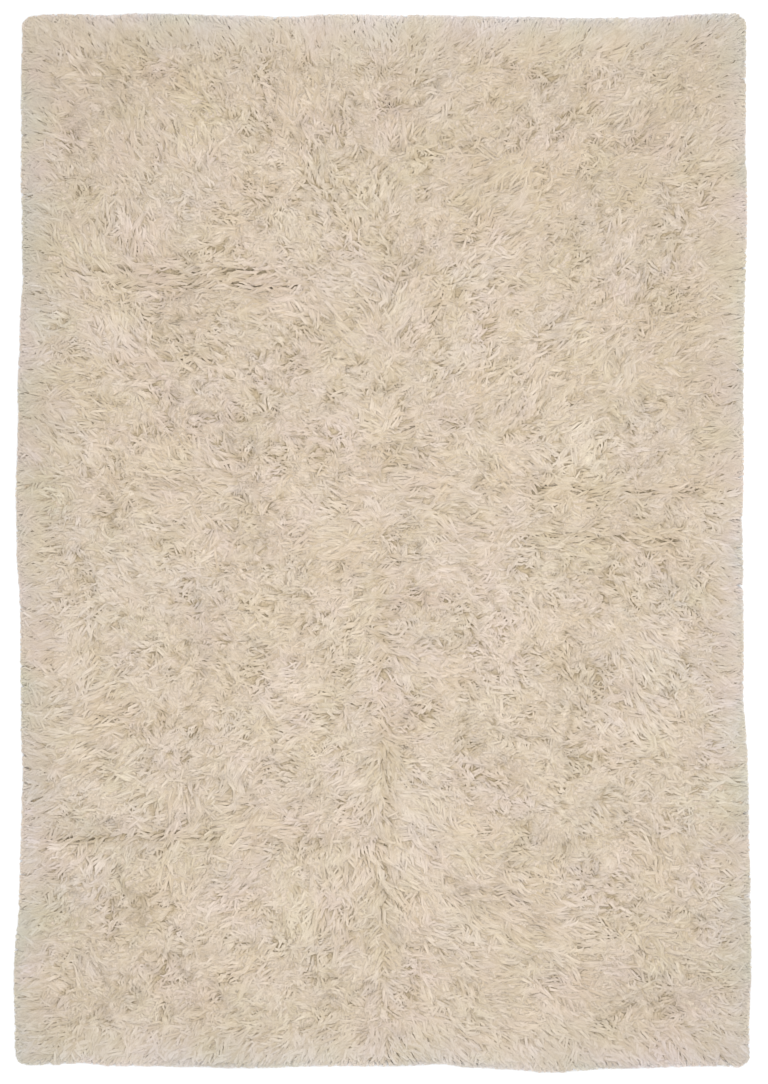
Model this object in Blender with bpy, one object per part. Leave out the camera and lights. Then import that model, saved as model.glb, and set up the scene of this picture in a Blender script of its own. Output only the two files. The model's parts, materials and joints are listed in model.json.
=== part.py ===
"""Shag rug: one lumpy slab of long wool pile with combed locks round its rim.

Metres, +Z up. The rug lies flat on the floor, z = 0, with its long side along Y and the middle
of its box over the origin. The slab and its locks are one closed mesh.
"""

import math
import random

import bmesh
import bpy
import numpy as np
from mathutils import Vector, noise

MM = 0.001
ROUNDING = 1e-6

# Driving sizes
WIDTH = 1.586  # along X, between the mean lines of the pile's two long rims
LENGTH = 2.298  # along Y, between the mean lines of the pile's two short rims
PILE_HEIGHT = 0.046  # mean height of the combed pile over the floor
RIM_HEIGHT = 0.025  # height of the slab where the rim's locks leave it
SHOULDER = 0.085  # distance over which the pile rolls down to the rim

# The slab's grid and the locks on its outer edges
CELLS_ACROSS = 30
CELLS_ALONG = 44
LOCKS_PER_CELL = 2
LOCK_SHARE = 0.76  # part of the rim's length that is lock root, the rest is gap
LOCK_REACH = 0.033  # from the slab's edge to the rim line
RAGGED = 0.007  # how far the shortest tips fall short of the rim line
SWAY = 0.0045  # how far a tip leans along the rim
BEND = 0.0035  # sideways bow of a lock's middle
CORNER_FAN = 0.150  # length of rim beside a corner whose locks fan round it
CORNER_TIP = 0.007  # distance from the corner to the tip nearest to it
SLAB_CORNER = 0.014  # radius of the slab's own corner
TIP_CORNER = 0.022  # radius of the corner that the tips follow
UNEVEN = 0.12  # share by which a lock is wider or narrower, taller or flatter than the next
SEED = 11
SHARP = math.radians(40)  # edges sharper than this keep their crease when shaded

# The sections of a lock: share of its length, width, height
LOCK_SECTIONS = (
    (0.55, 0.0165, 0.0170),
    (1.00, 0.0074, 0.0075),
)

# Lumps in the pile: how far apart they are, how high they rise
LUMPS = (
    (0.230, 0.0110),
    (0.120, 0.0150),
)

# How far the rim stands out from its mean line, in millimetres: along the side, left, right
LONG_RIMS = (
    (-1100, 13, 11),
    (-980, 13, 13),
    (-760, 4, 11),
    (-540, -4, 7),
    (-330, 0, -4),
    (-110, 0, -4),
    (0, 11, -7),
    (220, 7, -2),
    (440, 2, -4),
    (550, -7, 2),
    (660, -4, 4),
    (880, 0, 4),
    (1100, -2, 0),
)

# The same for the short sides, in millimetres: along the side, near end (-Y), far end (+Y)
SHORT_RIMS = (
    (-750, -4, 3),
    (-640, -9, 0),
    (-530, 0, 4),
    (-310, 2, 0),
    (-200, 0, -2),
    (-90, -2, 2),
    (20, 2, 0),
    (130, -7, 0),
    (240, 5, -2),
    (345, 13, -4),
    (455, 4, -7),
    (565, 4, -4),
    (670, 0, 2),
    (780, -6, 4),
)

# Old fold lines that part the pile, in millimetres: axis it runs along, place on the other
# axis, start, end, depth, half width
PARTINGS = (
    ("x", 561, -771, -180, 9, 40),
    ("x", 113, 329, 679, 8, 38),
    ("x", 10, 300, 636, 6, 36),
    ("x", -653, -728, -334, 9, 40),
    ("y", 5, -1003, 703, 7, 40),
)


def smooth(share):
    """Ease a share of 0 to 1 in and out."""
    share = min(1.0, max(0.0, share))
    return share * share * (3.0 - 2.0 * share)


def rim_table(rows):
    """Return the stations and the two stand-out columns of a rim table, in metres."""
    stations, low_side, high_side = np.array(rows, dtype=float).T * MM
    return stations, low_side, high_side


def stand_out(table, column, along):
    """Return how far one rim stands out from its mean line at a place along it."""
    stations = table[0]
    values = table[column]
    index = int(np.searchsorted(stations, along))
    if index == 0:
        return float(values[0])
    if index == len(stations):
        return float(values[-1])
    span = stations[index] - stations[index - 1]
    share = smooth((along - stations[index - 1]) / span)
    return float(values[index - 1] + (values[index] - values[index - 1]) * share)


LONG_TABLE = rim_table(LONG_RIMS)
SHORT_TABLE = rim_table(SHORT_RIMS)
LOW_SIDE = 1
HIGH_SIDE = 2


def lerp(low, high, share):
    """Mix two values by a share of 0 to 1."""
    return low + (high - low) * share


def round_off(x, y, corner_x, corner_y, radius):
    """Draw a point beside a square corner in to an arc of the given radius."""
    centre_x = corner_x - math.copysign(radius, corner_x)
    centre_y = corner_y - math.copysign(radius, corner_y)
    past_x = (x - centre_x) * math.copysign(1.0, corner_x)
    past_y = (y - centre_y) * math.copysign(1.0, corner_y)
    distance = math.hypot(past_x, past_y)
    if past_x <= 0.0 or past_y <= 0.0 or distance <= radius:
        return x, y
    shrink = radius / distance
    return centre_x + (x - centre_x) * shrink, centre_y + (y - centre_y) * shrink


def plan(u, v, setback, radius):
    """Place a point of the square -1..1 in the rug's plan, set back from the rim line."""
    nominal_x = u * WIDTH / 2
    nominal_y = v * LENGTH / 2
    left = -WIDTH / 2 - stand_out(LONG_TABLE, LOW_SIDE, nominal_y) + setback
    right = WIDTH / 2 + stand_out(LONG_TABLE, HIGH_SIDE, nominal_y) - setback
    near = -LENGTH / 2 - stand_out(SHORT_TABLE, LOW_SIDE, nominal_x) + setback
    far = LENGTH / 2 + stand_out(SHORT_TABLE, HIGH_SIDE, nominal_x) - setback
    x = lerp(left, right, (u + 1) / 2)
    y = lerp(near, far, (v + 1) / 2)
    corner_x = right if u > 0 else left
    corner_y = far if v > 0 else near
    return round_off(x, y, corner_x, corner_y, radius)


def parting_depth(x, y):
    """Return how deep the fold partings dip the pile at a place."""
    depth = 0.0
    for axis, place, start, end, deep, half_width in PARTINGS:
        along, across = (x, y) if axis == "x" else (y, x)
        middle = (start + end) / 2 * MM
        reach = (end - start) / 2 * MM
        beside = smooth(1.0 - abs(across - place * MM) / (2 * half_width * MM))
        within = smooth((reach - abs(along - middle)) / (2 * half_width * MM))
        depth = max(depth, deep * MM * beside * within)
    return depth


def pile_top(x, y, rim_distance):
    """Return the height of the pile's lumpy top at a place."""
    height = PILE_HEIGHT - parting_depth(x, y)
    for layer, (spacing, rise) in enumerate(LUMPS):
        height += rise * noise.noise(Vector((x / spacing, y / spacing, layer + 0.5)))
    roll = math.sqrt(1.0 - (1.0 - min(1.0, rim_distance / SHOULDER)) ** 2)
    return lerp(RIM_HEIGHT, height, roll)


def widen_roots(share):
    """Move an even cut of an outer cell's edge, so that lock roots come out wider than gaps."""
    pitch = 1 / LOCKS_PER_CELL
    lock, part = divmod(share, pitch)
    return lock * pitch + float(np.interp(part, (0, pitch / 2, pitch), (0, pitch * LOCK_SHARE, pitch)))


def spread_rim(value, cells):
    """Apply widen_roots to a coordinate of -1..1 that runs along a row of cells."""
    place = (value + 1) / 2 * cells
    cell = min(cells - 1, math.floor(place + ROUNDING))
    return (cell + widen_roots(max(0.0, place - cell))) / cells * 2 - 1


def unit_slab():
    """Make a slab of one unit's height over the square -1..1, its rim cut at the lock roots."""
    slab = bmesh.new()
    bmesh.ops.create_grid(slab, x_segments=CELLS_ACROSS, y_segments=CELLS_ALONG, size=1.0)
    rim = [edge for edge in slab.edges if edge.is_boundary]
    bmesh.ops.subdivide_edges(slab, edges=rim, cuts=2 * LOCKS_PER_CELL - 1)
    rim = [edge for edge in slab.edges if edge.is_boundary]
    for vertex in {corner for edge in rim for corner in edge.verts}:
        if abs(vertex.co.x) > abs(vertex.co.y):
            vertex.co.y = spread_rim(vertex.co.y, CELLS_ALONG)
        else:
            vertex.co.x = spread_rim(vertex.co.x, CELLS_ACROSS)
    wall = bmesh.ops.extrude_edge_only(slab, edges=rim)["geom"]
    foot = [part for part in wall if isinstance(part, bmesh.types.BMVert)]
    bmesh.ops.translate(slab, verts=foot, vec=(0, 0, -1))
    foot_edges = [edge for edge in slab.edges if edge.is_boundary]
    bmesh.ops.contextual_create(slab, geom=foot_edges)
    return slab


def root_places(slab):
    """Return each wall face that a lock grows from, with its middle in the square -1..1."""
    roots = []
    for face in slab.faces:
        middle = face.calc_center_median()
        if abs(face.normal.z) > 0.5 or len(face.verts) != 4:
            continue
        along_x = abs(middle.y) > abs(middle.x)
        place, cells = (middle.x, CELLS_ACROSS) if along_x else (middle.y, CELLS_ALONG)
        share = (place + 1) / 2 * cells * LOCKS_PER_CELL % 1
        if share < LOCK_SHARE:
            roots.append((face, middle.x, middle.y))
    return sorted(roots, key=lambda root: math.atan2(root[2], root[1]))


def shape_slab(slab):
    """Bend the unit slab to the rug's outline, lumpy top and flat underside."""
    for vertex in slab.verts:
        u, v, level = vertex.co
        x, y = plan(u, v, LOCK_REACH, SLAB_CORNER)
        rim_distance = min((1 - abs(u)) * WIDTH / 2, (1 - abs(v)) * LENGTH / 2)
        z = 0.0 if level < -0.5 else pile_top(x, y, rim_distance)
        vertex.co = (x, y, z)


def fan(place, half_side):
    """Move a tip's coordinate along its side, so that the locks beside a corner fan round it."""
    distance = (1 - abs(place)) * (half_side - LOCK_REACH)
    widened = lerp(CORNER_TIP, CORNER_FAN + LOCK_REACH, distance / CORNER_FAN)
    plain = distance + LOCK_REACH
    from_corner = widened if distance < CORNER_FAN else plain
    return math.copysign(1 - from_corner / half_side, place)


def tip_place(u, v, chance):
    """Return where the lock rooted at u, v of the square -1..1 has its tip."""
    sway = chance.uniform(-SWAY, SWAY)
    setback = chance.uniform(0.0, RAGGED)
    if abs(v) > abs(u):
        u = fan(u, WIDTH / 2) + sway / (WIDTH / 2)
        v = math.copysign(1.0, v)
    else:
        v = fan(v, LENGTH / 2) + sway / (LENGTH / 2)
        u = math.copysign(1.0, u)
    return Vector(plan(u, v, setback, TIP_CORNER))


def set_section(face, centre, side, width, height):
    """Give a lock's end face its width and height round a centre, its underside on the floor."""
    middle = face.calc_center_median()
    for vertex in face.verts:
        hand = math.copysign(1.0, (vertex.co - middle).xy.dot(side))
        place = centre + side * hand * width / 2
        low = vertex.co.z < middle.z
        vertex.co = (place.x, place.y, 0.0 if low else height)


def grow_lock(slab, root, tip, chance):
    """Draw a root face out to its tip as a tapered, bowed lock that lies level on the floor."""
    start = root.calc_center_median().xy
    side = Vector((start.y - tip.y, tip.x - start.x)).normalized()
    bow = chance.uniform(-BEND, BEND)
    size = 1 + chance.uniform(-UNEVEN, UNEVEN)
    for share, width, height in LOCK_SECTIONS:
        root = bmesh.ops.extrude_discrete_faces(slab, faces=[root])["faces"][0]
        centre = start.lerp(tip, share) + side * bow * math.sin(math.pi * share)
        set_section(root, centre, side, width * size, height * size)


def grow_locks(slab, roots):
    """Grow a lock from every root face, each a little unlike the next."""
    chance = random.Random(SEED)
    for root, u, v in roots:
        grow_lock(slab, root, tip_place(u, v, chance), chance)


def centre_over_origin(slab):
    """Move the rug so that the middle of its box is over the origin."""
    for axis in (0, 1):
        places = [vertex.co[axis] for vertex in slab.verts]
        shift = Vector((0, 0, 0))
        shift[axis] = -(min(places) + max(places)) / 2
        bmesh.ops.translate(slab, verts=slab.verts, vec=shift)


def wool_material():
    """Cream wool, matt."""
    material = bpy.data.materials.new("cream_wool")
    material.use_nodes = True
    shader = material.node_tree.nodes["Principled BSDF"]
    shader.inputs["Base Color"].default_value = (0.665, 0.558, 0.434, 1.0)
    shader.inputs["Roughness"].default_value = 0.95
    shader.inputs["Metallic"].default_value = 0.0
    return material


def build_rug():
    """Build the rug as one closed solid."""
    slab = unit_slab()
    slab.normal_update()
    roots = root_places(slab)
    shape_slab(slab)
    grow_locks(slab, roots)
    centre_over_origin(slab)
    bmesh.ops.recalc_face_normals(slab, faces=slab.faces)
    bmesh.ops.triangulate(slab, faces=slab.faces, quad_method="BEAUTY", ngon_method="BEAUTY")
    mesh = bpy.data.meshes.new("shag_rug")
    slab.to_mesh(mesh)
    slab.free()
    mesh.shade_smooth()
    mesh.set_sharp_from_angle(angle=SHARP)
    rug = bpy.data.objects.new("shag_rug", mesh)
    rug.data.materials.append(wool_material())
    bpy.context.collection.objects.link(rug)
    return rug


def main():
    """Empty the file and build the rug."""
    for old in list(bpy.data.objects):
        bpy.data.objects.remove(old, do_unlink=True)
    build_rug()


main()
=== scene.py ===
"""Looks of the shag rug: a woven ground, a matted pile bed and many thousand combed wool locks.

Metres, +Z up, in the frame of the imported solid. The rug lies flat on the floor, z = 0, with its
long side along Y, and the camera looks straight down on it.
"""

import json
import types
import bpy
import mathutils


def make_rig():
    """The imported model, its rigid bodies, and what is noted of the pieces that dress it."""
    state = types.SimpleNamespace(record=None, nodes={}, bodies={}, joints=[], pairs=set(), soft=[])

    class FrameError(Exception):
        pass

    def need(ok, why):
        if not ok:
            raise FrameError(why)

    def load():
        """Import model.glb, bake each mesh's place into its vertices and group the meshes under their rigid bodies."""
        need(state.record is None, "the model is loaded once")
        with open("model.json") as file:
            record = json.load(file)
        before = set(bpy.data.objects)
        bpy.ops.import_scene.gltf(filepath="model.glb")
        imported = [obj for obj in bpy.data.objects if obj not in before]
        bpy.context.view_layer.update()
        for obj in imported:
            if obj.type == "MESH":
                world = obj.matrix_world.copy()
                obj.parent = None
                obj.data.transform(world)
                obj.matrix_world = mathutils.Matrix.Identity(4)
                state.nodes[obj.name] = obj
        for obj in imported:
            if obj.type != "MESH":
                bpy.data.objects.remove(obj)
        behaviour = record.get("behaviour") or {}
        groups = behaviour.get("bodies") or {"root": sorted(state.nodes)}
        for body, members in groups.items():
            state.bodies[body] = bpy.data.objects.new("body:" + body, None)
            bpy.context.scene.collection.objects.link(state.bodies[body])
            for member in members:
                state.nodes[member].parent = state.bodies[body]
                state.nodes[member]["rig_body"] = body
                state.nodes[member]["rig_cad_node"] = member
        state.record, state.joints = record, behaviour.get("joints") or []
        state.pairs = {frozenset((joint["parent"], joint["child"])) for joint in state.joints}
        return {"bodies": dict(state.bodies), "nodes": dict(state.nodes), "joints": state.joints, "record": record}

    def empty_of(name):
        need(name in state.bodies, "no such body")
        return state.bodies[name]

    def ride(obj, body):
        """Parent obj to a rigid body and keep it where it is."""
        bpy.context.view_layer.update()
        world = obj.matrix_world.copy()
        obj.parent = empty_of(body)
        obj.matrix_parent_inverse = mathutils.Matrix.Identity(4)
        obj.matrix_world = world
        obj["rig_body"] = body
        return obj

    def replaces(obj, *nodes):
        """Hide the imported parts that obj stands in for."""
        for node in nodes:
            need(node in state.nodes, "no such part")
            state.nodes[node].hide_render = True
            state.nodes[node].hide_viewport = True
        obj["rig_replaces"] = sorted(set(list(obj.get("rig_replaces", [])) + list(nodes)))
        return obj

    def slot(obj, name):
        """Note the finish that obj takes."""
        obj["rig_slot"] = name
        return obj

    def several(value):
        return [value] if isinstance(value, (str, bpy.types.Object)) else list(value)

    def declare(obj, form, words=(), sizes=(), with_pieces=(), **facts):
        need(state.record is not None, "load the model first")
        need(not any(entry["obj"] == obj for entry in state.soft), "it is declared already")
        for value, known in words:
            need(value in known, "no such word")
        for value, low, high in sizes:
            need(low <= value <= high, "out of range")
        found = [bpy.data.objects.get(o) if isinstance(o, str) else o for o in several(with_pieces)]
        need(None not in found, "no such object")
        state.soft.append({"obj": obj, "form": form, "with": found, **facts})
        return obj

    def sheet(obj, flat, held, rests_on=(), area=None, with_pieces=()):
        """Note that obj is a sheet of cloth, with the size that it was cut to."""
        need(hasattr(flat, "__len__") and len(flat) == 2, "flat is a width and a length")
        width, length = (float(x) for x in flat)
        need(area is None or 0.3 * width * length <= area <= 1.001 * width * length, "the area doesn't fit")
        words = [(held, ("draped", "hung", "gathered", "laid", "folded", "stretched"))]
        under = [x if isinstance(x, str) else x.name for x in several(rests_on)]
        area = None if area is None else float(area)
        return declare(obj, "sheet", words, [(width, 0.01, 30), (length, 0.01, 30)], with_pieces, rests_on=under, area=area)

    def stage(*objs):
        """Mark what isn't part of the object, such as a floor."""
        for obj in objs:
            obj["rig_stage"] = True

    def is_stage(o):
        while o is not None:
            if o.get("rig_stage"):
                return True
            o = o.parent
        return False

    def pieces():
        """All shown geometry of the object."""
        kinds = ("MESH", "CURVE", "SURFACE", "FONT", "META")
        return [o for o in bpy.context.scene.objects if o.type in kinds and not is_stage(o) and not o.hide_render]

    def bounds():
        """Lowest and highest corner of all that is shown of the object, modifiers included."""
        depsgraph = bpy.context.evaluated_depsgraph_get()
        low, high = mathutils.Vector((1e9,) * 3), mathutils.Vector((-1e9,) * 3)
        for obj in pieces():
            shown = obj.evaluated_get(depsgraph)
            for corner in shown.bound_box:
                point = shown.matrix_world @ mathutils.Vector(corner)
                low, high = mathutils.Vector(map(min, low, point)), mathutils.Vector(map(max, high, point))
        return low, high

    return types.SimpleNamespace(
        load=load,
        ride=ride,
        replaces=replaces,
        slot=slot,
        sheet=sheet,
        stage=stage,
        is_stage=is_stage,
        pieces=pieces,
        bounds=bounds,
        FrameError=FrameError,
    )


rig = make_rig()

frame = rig.load()

import json
import logging
import math
from dataclasses import dataclass, field, replace
from enum import Enum
from pathlib import Path
from typing import Callable

import bmesh
import bpy
import numpy as np
from mathutils import Vector
from mathutils.bvhtree import BVHTree
from mathutils.kdtree import KDTree

LOG = logging.getLogger("shag_rug")

Array = np.ndarray
Socket = bpy.types.NodeSocket
Colour = tuple[float, float, float]
Place = tuple[float, float, float]
Span = tuple[float, float]
Profile = tuple[tuple[float, float], ...]

NODE = "shag_rug"
BODY = "root"
SLOT = "cream_wool"
SIZE_FILE = Path("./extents.json")
BAKE_MAP = "OFBake"
STRAND_MAP = "strand"
TINY = 1e-12  # keeps a division by a length of 0 from failing
GRID_END = 1.001  # rows off a grid's size, so that a place always has a row after it


def ease(share: Array) -> Array:
    """Ease shares of 0 to 1 in and out."""
    share = np.clip(share, 0.0, 1.0)
    return share * share * (3.0 - 2.0 * share)


def mix(low: Array, high: Array, share: Array) -> Array:
    """Mix two values by a share of 0 to 1."""
    return low + (high - low) * share


def scattered(
    half: Array, pitch: float, shake: float, chance: np.random.Generator
) -> tuple[Array, Array]:
    """Return places on a shaken grid over a centred rectangle.

    Args:
        half: Half of the rectangle's width and length, in metres.
        pitch: Distance between the grid's places.
        shake: How far a place may move either way, as a share of the pitch.
        chance: Source of the shake.

    Returns:
        The places along X and along Y.
    """
    across = np.arange(-half[0], half[0], pitch) + pitch / 2
    along = np.arange(-half[1], half[1], pitch) + pitch / 2
    x, y = (grid.ravel() for grid in np.meshgrid(across, along, indexing="ij"))
    x = x + chance.uniform(-shake, shake, x.size) * pitch
    y = y + chance.uniform(-shake, shake, y.size) * pitch
    return x, y


@dataclass
class Clumps:
    """Middles of clumps, each with a direction that the clump is long in.

    Attributes:
        x: Places along X, in metres.
        y: Places along Y, in metres.
        heading: Directions, as angles from +X.
        stretch: How much longer than round a clump is, and how much narrower.
        looked_at: How many middles near a place are compared.
    """

    x: Array
    y: Array
    heading: Array
    stretch: float = 1.4
    looked_at: int = 6

    def own(self, x: Array, y: Array) -> tuple[Array, Array, Array]:
        """Return the clump that each place belongs to.

        Args:
            x: Places along X.
            y: Places along Y.

        Returns:
            The clump's number, and how far from its middle line and how far from its middle, as
            if it were round, the place lies.
        """
        tree = KDTree(len(self.x))
        for number, (across, along) in enumerate(zip(self.x, self.y)):
            tree.insert((across, along, 0.0), number)
        tree.balance()
        found = [tree.find_n((across, along, 0.0), self.looked_at) for across, along in zip(x, y)]
        number = np.array([[index for _, index, _ in row] for row in found])
        off_x, off_y = x[:, None] - self.x[number], y[:, None] - self.y[number]
        cosine, sine = np.cos(self.heading[number]), np.sin(self.heading[number])
        aside = off_y * cosine - off_x * sine
        along = off_x * cosine + off_y * sine
        far = np.hypot(along / self.stretch, aside * self.stretch)
        best = far.argmin(1)
        row = np.arange(len(x))
        return number[row, best], aside[row, best], far[row, best]


# ----------------------------------------------------------
# The form of the pile
# ----------------------------------------------------------


@dataclass(frozen=True)
class SmoothField:
    """A smooth random field over the floor, of about -1 to 1.

    Attributes:
        spacing: Distance between its random knots, in metres.
        seed: Seed of its knots.
        reach: Half width of the square that the knots cover, in metres.
        spare: How many knots there are past the square, for the spline's ends.
        swell: How far past 1 the knots reach, to make up for the spline's smoothing.
    """

    spacing: float
    seed: int
    reach: float = 1.6
    spare: int = 4
    swell: float = 1.6

    def at(self, x: Array, y: Array) -> Array:
        """Return the field's values at places.

        Args:
            x: Places along X, in metres.
            y: Places along Y, in metres.

        Returns:
            One value for each place, from a cubic B-spline over the knots.
        """
        count = math.ceil(2 * self.reach / self.spacing) + self.spare
        knots = np.random.default_rng(self.seed).uniform(-1, 1, (count, count)) * self.swell
        across = (np.asarray(x) + self.reach) / self.spacing
        along = (np.asarray(y) + self.reach) / self.spacing
        column = np.floor(across).astype(int)
        row = np.floor(along).astype(int)
        value = np.zeros(np.shape(across))
        weights_x = self._weights(across - column)
        weights_y = self._weights(along - row)
        for i, weight_x in enumerate(weights_x):
            for j, weight_y in enumerate(weights_y):
                value += weight_x * weight_y * knots[(column + i) % count, (row + j) % count]
        return value

    @staticmethod
    def _weights(part: Array) -> tuple[Array, Array, Array, Array]:
        """Return the weights of the four knots around places, for a cubic B-spline.

        Args:
            part: How far the places lie from the second knot to the third, from 0 to 1.

        Returns:
            The four weights of each place.
        """
        rest = 1 - part
        return (
            rest**3 / 6,
            (3 * part**3 - 6 * part**2 + 4) / 6,
            (3 * rest**3 - 6 * rest**2 + 4) / 6,
            part**3 / 6,
        )


class Run(Enum):
    """The way an old fold line runs."""

    ACROSS = "across"
    ALONG = "along"


FOLD_SWAY = SmoothField(0.11, 17)


@dataclass(frozen=True)
class FoldLine:
    """An old fold of the rug, which the pile lies beside or parts at.

    Attributes:
        run: Whether it runs across the rug, along X, or along it, along Y.
        place: Where it lies on the other axis, in metres.
        start: Its one end, in metres.
        end: Its other end, in metres.
        gap: Half width of the slit that it leaves between locks, in metres.
        pull: How strongly the locks turn to run beside it.
        reach: How far beside it they turn, in metres.
        sway: How far the line wanders to either side, in metres.
        fade: Length over which it fades out at an end, in metres.
        full_gap: Half width of a slit whose depth counts as 1, in metres.
        opening: How far beside the slit locks are moved aside, in half widths of it.
    """

    run: Run
    place: float
    start: float
    end: float
    gap: float
    pull: float = 2.5
    reach: float = 0.022
    sway: float = 0.007
    fade: float = 0.05
    full_gap: float = 0.003
    opening: float = 4.0

    def _lie(self, x: Array, y: Array) -> tuple[Array, Array]:
        """Find how places lie to the line.

        Args:
            x: Places along X.
            y: Places along Y.

        Returns:
            Their distances from the line, and how far between its ends they lie, from 0 to 1.
        """
        along, across = (x, y) if self.run is Run.ACROSS else (y, x)
        line = self.place + self.sway * FOLD_SWAY.at(along, np.full_like(along, self.place))
        middle = (self.start + self.end) / 2
        half = abs(self.end - self.start) / 2
        return across - line, ease((half - np.abs(along - middle)) / self.fade + 0.5)

    def nearness(self, x: Array, y: Array) -> Array:
        """Return 1 on the line, falling to 0 a little past its reach."""
        offset, within = self._lie(x, y)
        return within * np.exp(-((offset / self.reach) ** 2))

    def cleft(self, x: Array, y: Array, width: float = 0.006) -> Array:
        """Return about 1 on the line, falling to 0 a few millimetres beside it."""
        offset, within = self._lie(x, y)
        return self.gap / self.full_gap * within * np.exp(-((offset / width) ** 2))

    def opened(self, x: Array, y: Array) -> tuple[Array, Array]:
        """Move places aside from the line, so that a slit stays open on it.

        Args:
            x: Places along X.
            y: Places along Y.

        Returns:
            The moved places, along X and along Y.
        """
        offset, within = self._lie(x, y)
        near = np.exp(-((offset / (self.opening * self.gap)) ** 2))
        aside = self.gap * within * np.sign(offset) * near
        return (x, y + aside) if self.run is Run.ACROSS else (x + aside, y)


FOLD_LINES = (
    # run, place, start, end, gap
    FoldLine(Run.ACROSS, 0.586, -0.771, -0.260, 0.0036),
    FoldLine(Run.ACROSS, 0.556, -0.600, -0.180, 0.0036),
    FoldLine(Run.ACROSS, 0.397, -0.580, -0.355, 0.0026),
    FoldLine(Run.ACROSS, 0.113, 0.329, 0.679, 0.0030),
    FoldLine(Run.ACROSS, 0.010, 0.300, 0.636, 0.0030),
    FoldLine(Run.ACROSS, -0.645, -0.728, -0.334, 0.0034),
    FoldLine(Run.ALONG, 0.002, -1.003, -0.050, 0.0015, pull=0.0),
    FoldLine(Run.ALONG, 0.006, -0.640, -0.380, 0.0025, pull=0.0),
)


@dataclass(frozen=True)
class Patch:
    """A place where the pile lies combed smooth, and is painted a little lighter, as light falls on smooth wool.

    Attributes:
        across: Its middle along X, in metres.
        along: Its middle along Y, in metres.
        reach: Its radius, in metres.
        angle: Direction that its locks point in, from +X, in degrees.
        light: How much lighter than the rest it is painted, from 0 to 1.
    """

    across: float
    along: float
    reach: float
    angle: float
    # Painted light on the smooth, combed wool.
    light: float = 0.5

    def weight(self, x: Array, y: Array) -> Array:
        """Return 1 in its middle, falling smoothly to 0 outside."""
        return np.exp(-((x - self.across) ** 2 + (y - self.along) ** 2) / self.reach**2)


PATCHES = (
    # across, along, reach, angle, light
    Patch(-0.552, 0.900, 0.055, 85, 0.4),
    Patch(-0.388, 0.835, 0.045, 80, 0.8),
    Patch(-0.147, 0.945, 0.050, 90, 0.8),
    Patch(0.049, 0.889, 0.032, 100, 0.7),
    Patch(0.126, 0.955, 0.038, 40, 0.9),
    Patch(0.005, 0.758, 0.032, 90, 0.4),
    Patch(-0.541, 0.693, 0.065, 65, 0.8),
    Patch(-0.650, 0.638, 0.050, 110, 0.5),
    Patch(0.519, 0.671, 0.042, 45, 0.8),
    Patch(0.202, 0.594, 0.042, 35, 0.9),
    Patch(0.033, 0.507, 0.055, 60, 0.6),
    Patch(-0.040, 0.590, 0.060, 170, 0.3),
    Patch(-0.563, 0.463, 0.060, 100, 0.8),
    Patch(0.213, 0.387, 0.048, 50, 0.8),
    Patch(0.519, 0.376, 0.036, 85, 1.0),
    Patch(0.425, 0.250, 0.030, 80, 0.9),
    Patch(0.425, 0.190, 0.030, 85, 0.9),
    Patch(-0.060, 0.299, 0.040, 120, 0.5),
    Patch(0.300, 0.165, 0.050, -40, 0.4),
    Patch(-0.672, 0.223, 0.050, 130, 0.8),
    Patch(-0.388, -0.007, 0.040, 35, 0.7),
    Patch(-0.560, -0.060, 0.050, 150, 0.6),
    Patch(0.316, -0.149, 0.042, -88, 0.9),
    Patch(-0.650, -0.190, 0.045, -100, 0.9),
    Patch(-0.655, -0.280, 0.045, -110, 0.8),
    Patch(0.590, -0.230, 0.070, -38, 0.7),
    Patch(0.580, -0.370, 0.070, -48, 0.6),
    Patch(-0.322, -0.510, 0.038, -80, 0.7),
    Patch(-0.442, -0.564, 0.050, -80, 0.6),
    Patch(-0.574, -0.540, 0.048, -140, 0.4),
    Patch(-0.055, -0.520, 0.055, -138, 0.3),
    Patch(0.060, -0.560, 0.080, -52, 0.6),
    Patch(0.475, -0.597, 0.036, -75, 0.9),
    Patch(0.585, -0.660, 0.062, -62, 0.5),
    Patch(0.070, -0.720, 0.070, -52, 0.5),
    Patch(-0.090, -0.720, 0.055, -72, 0.4),
    Patch(-0.617, -0.690, 0.048, -95, 0.9),
    Patch(-0.453, -0.717, 0.038, -60, 0.5),
    Patch(-0.370, -0.800, 0.040, -150, 0.6),
    Patch(-0.137, -0.826, 0.062, -85, 0.7),
    Patch(0.235, -0.837, 0.042, -60, 0.8),
    Patch(0.377, -0.902, 0.046, -50, 0.7),
    Patch(0.617, -0.924, 0.042, -55, 0.8),
    Patch(-0.650, -0.924, 0.042, 125, 0.6),
    Patch(-0.290, -0.957, 0.046, -135, 0.5),
)


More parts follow.
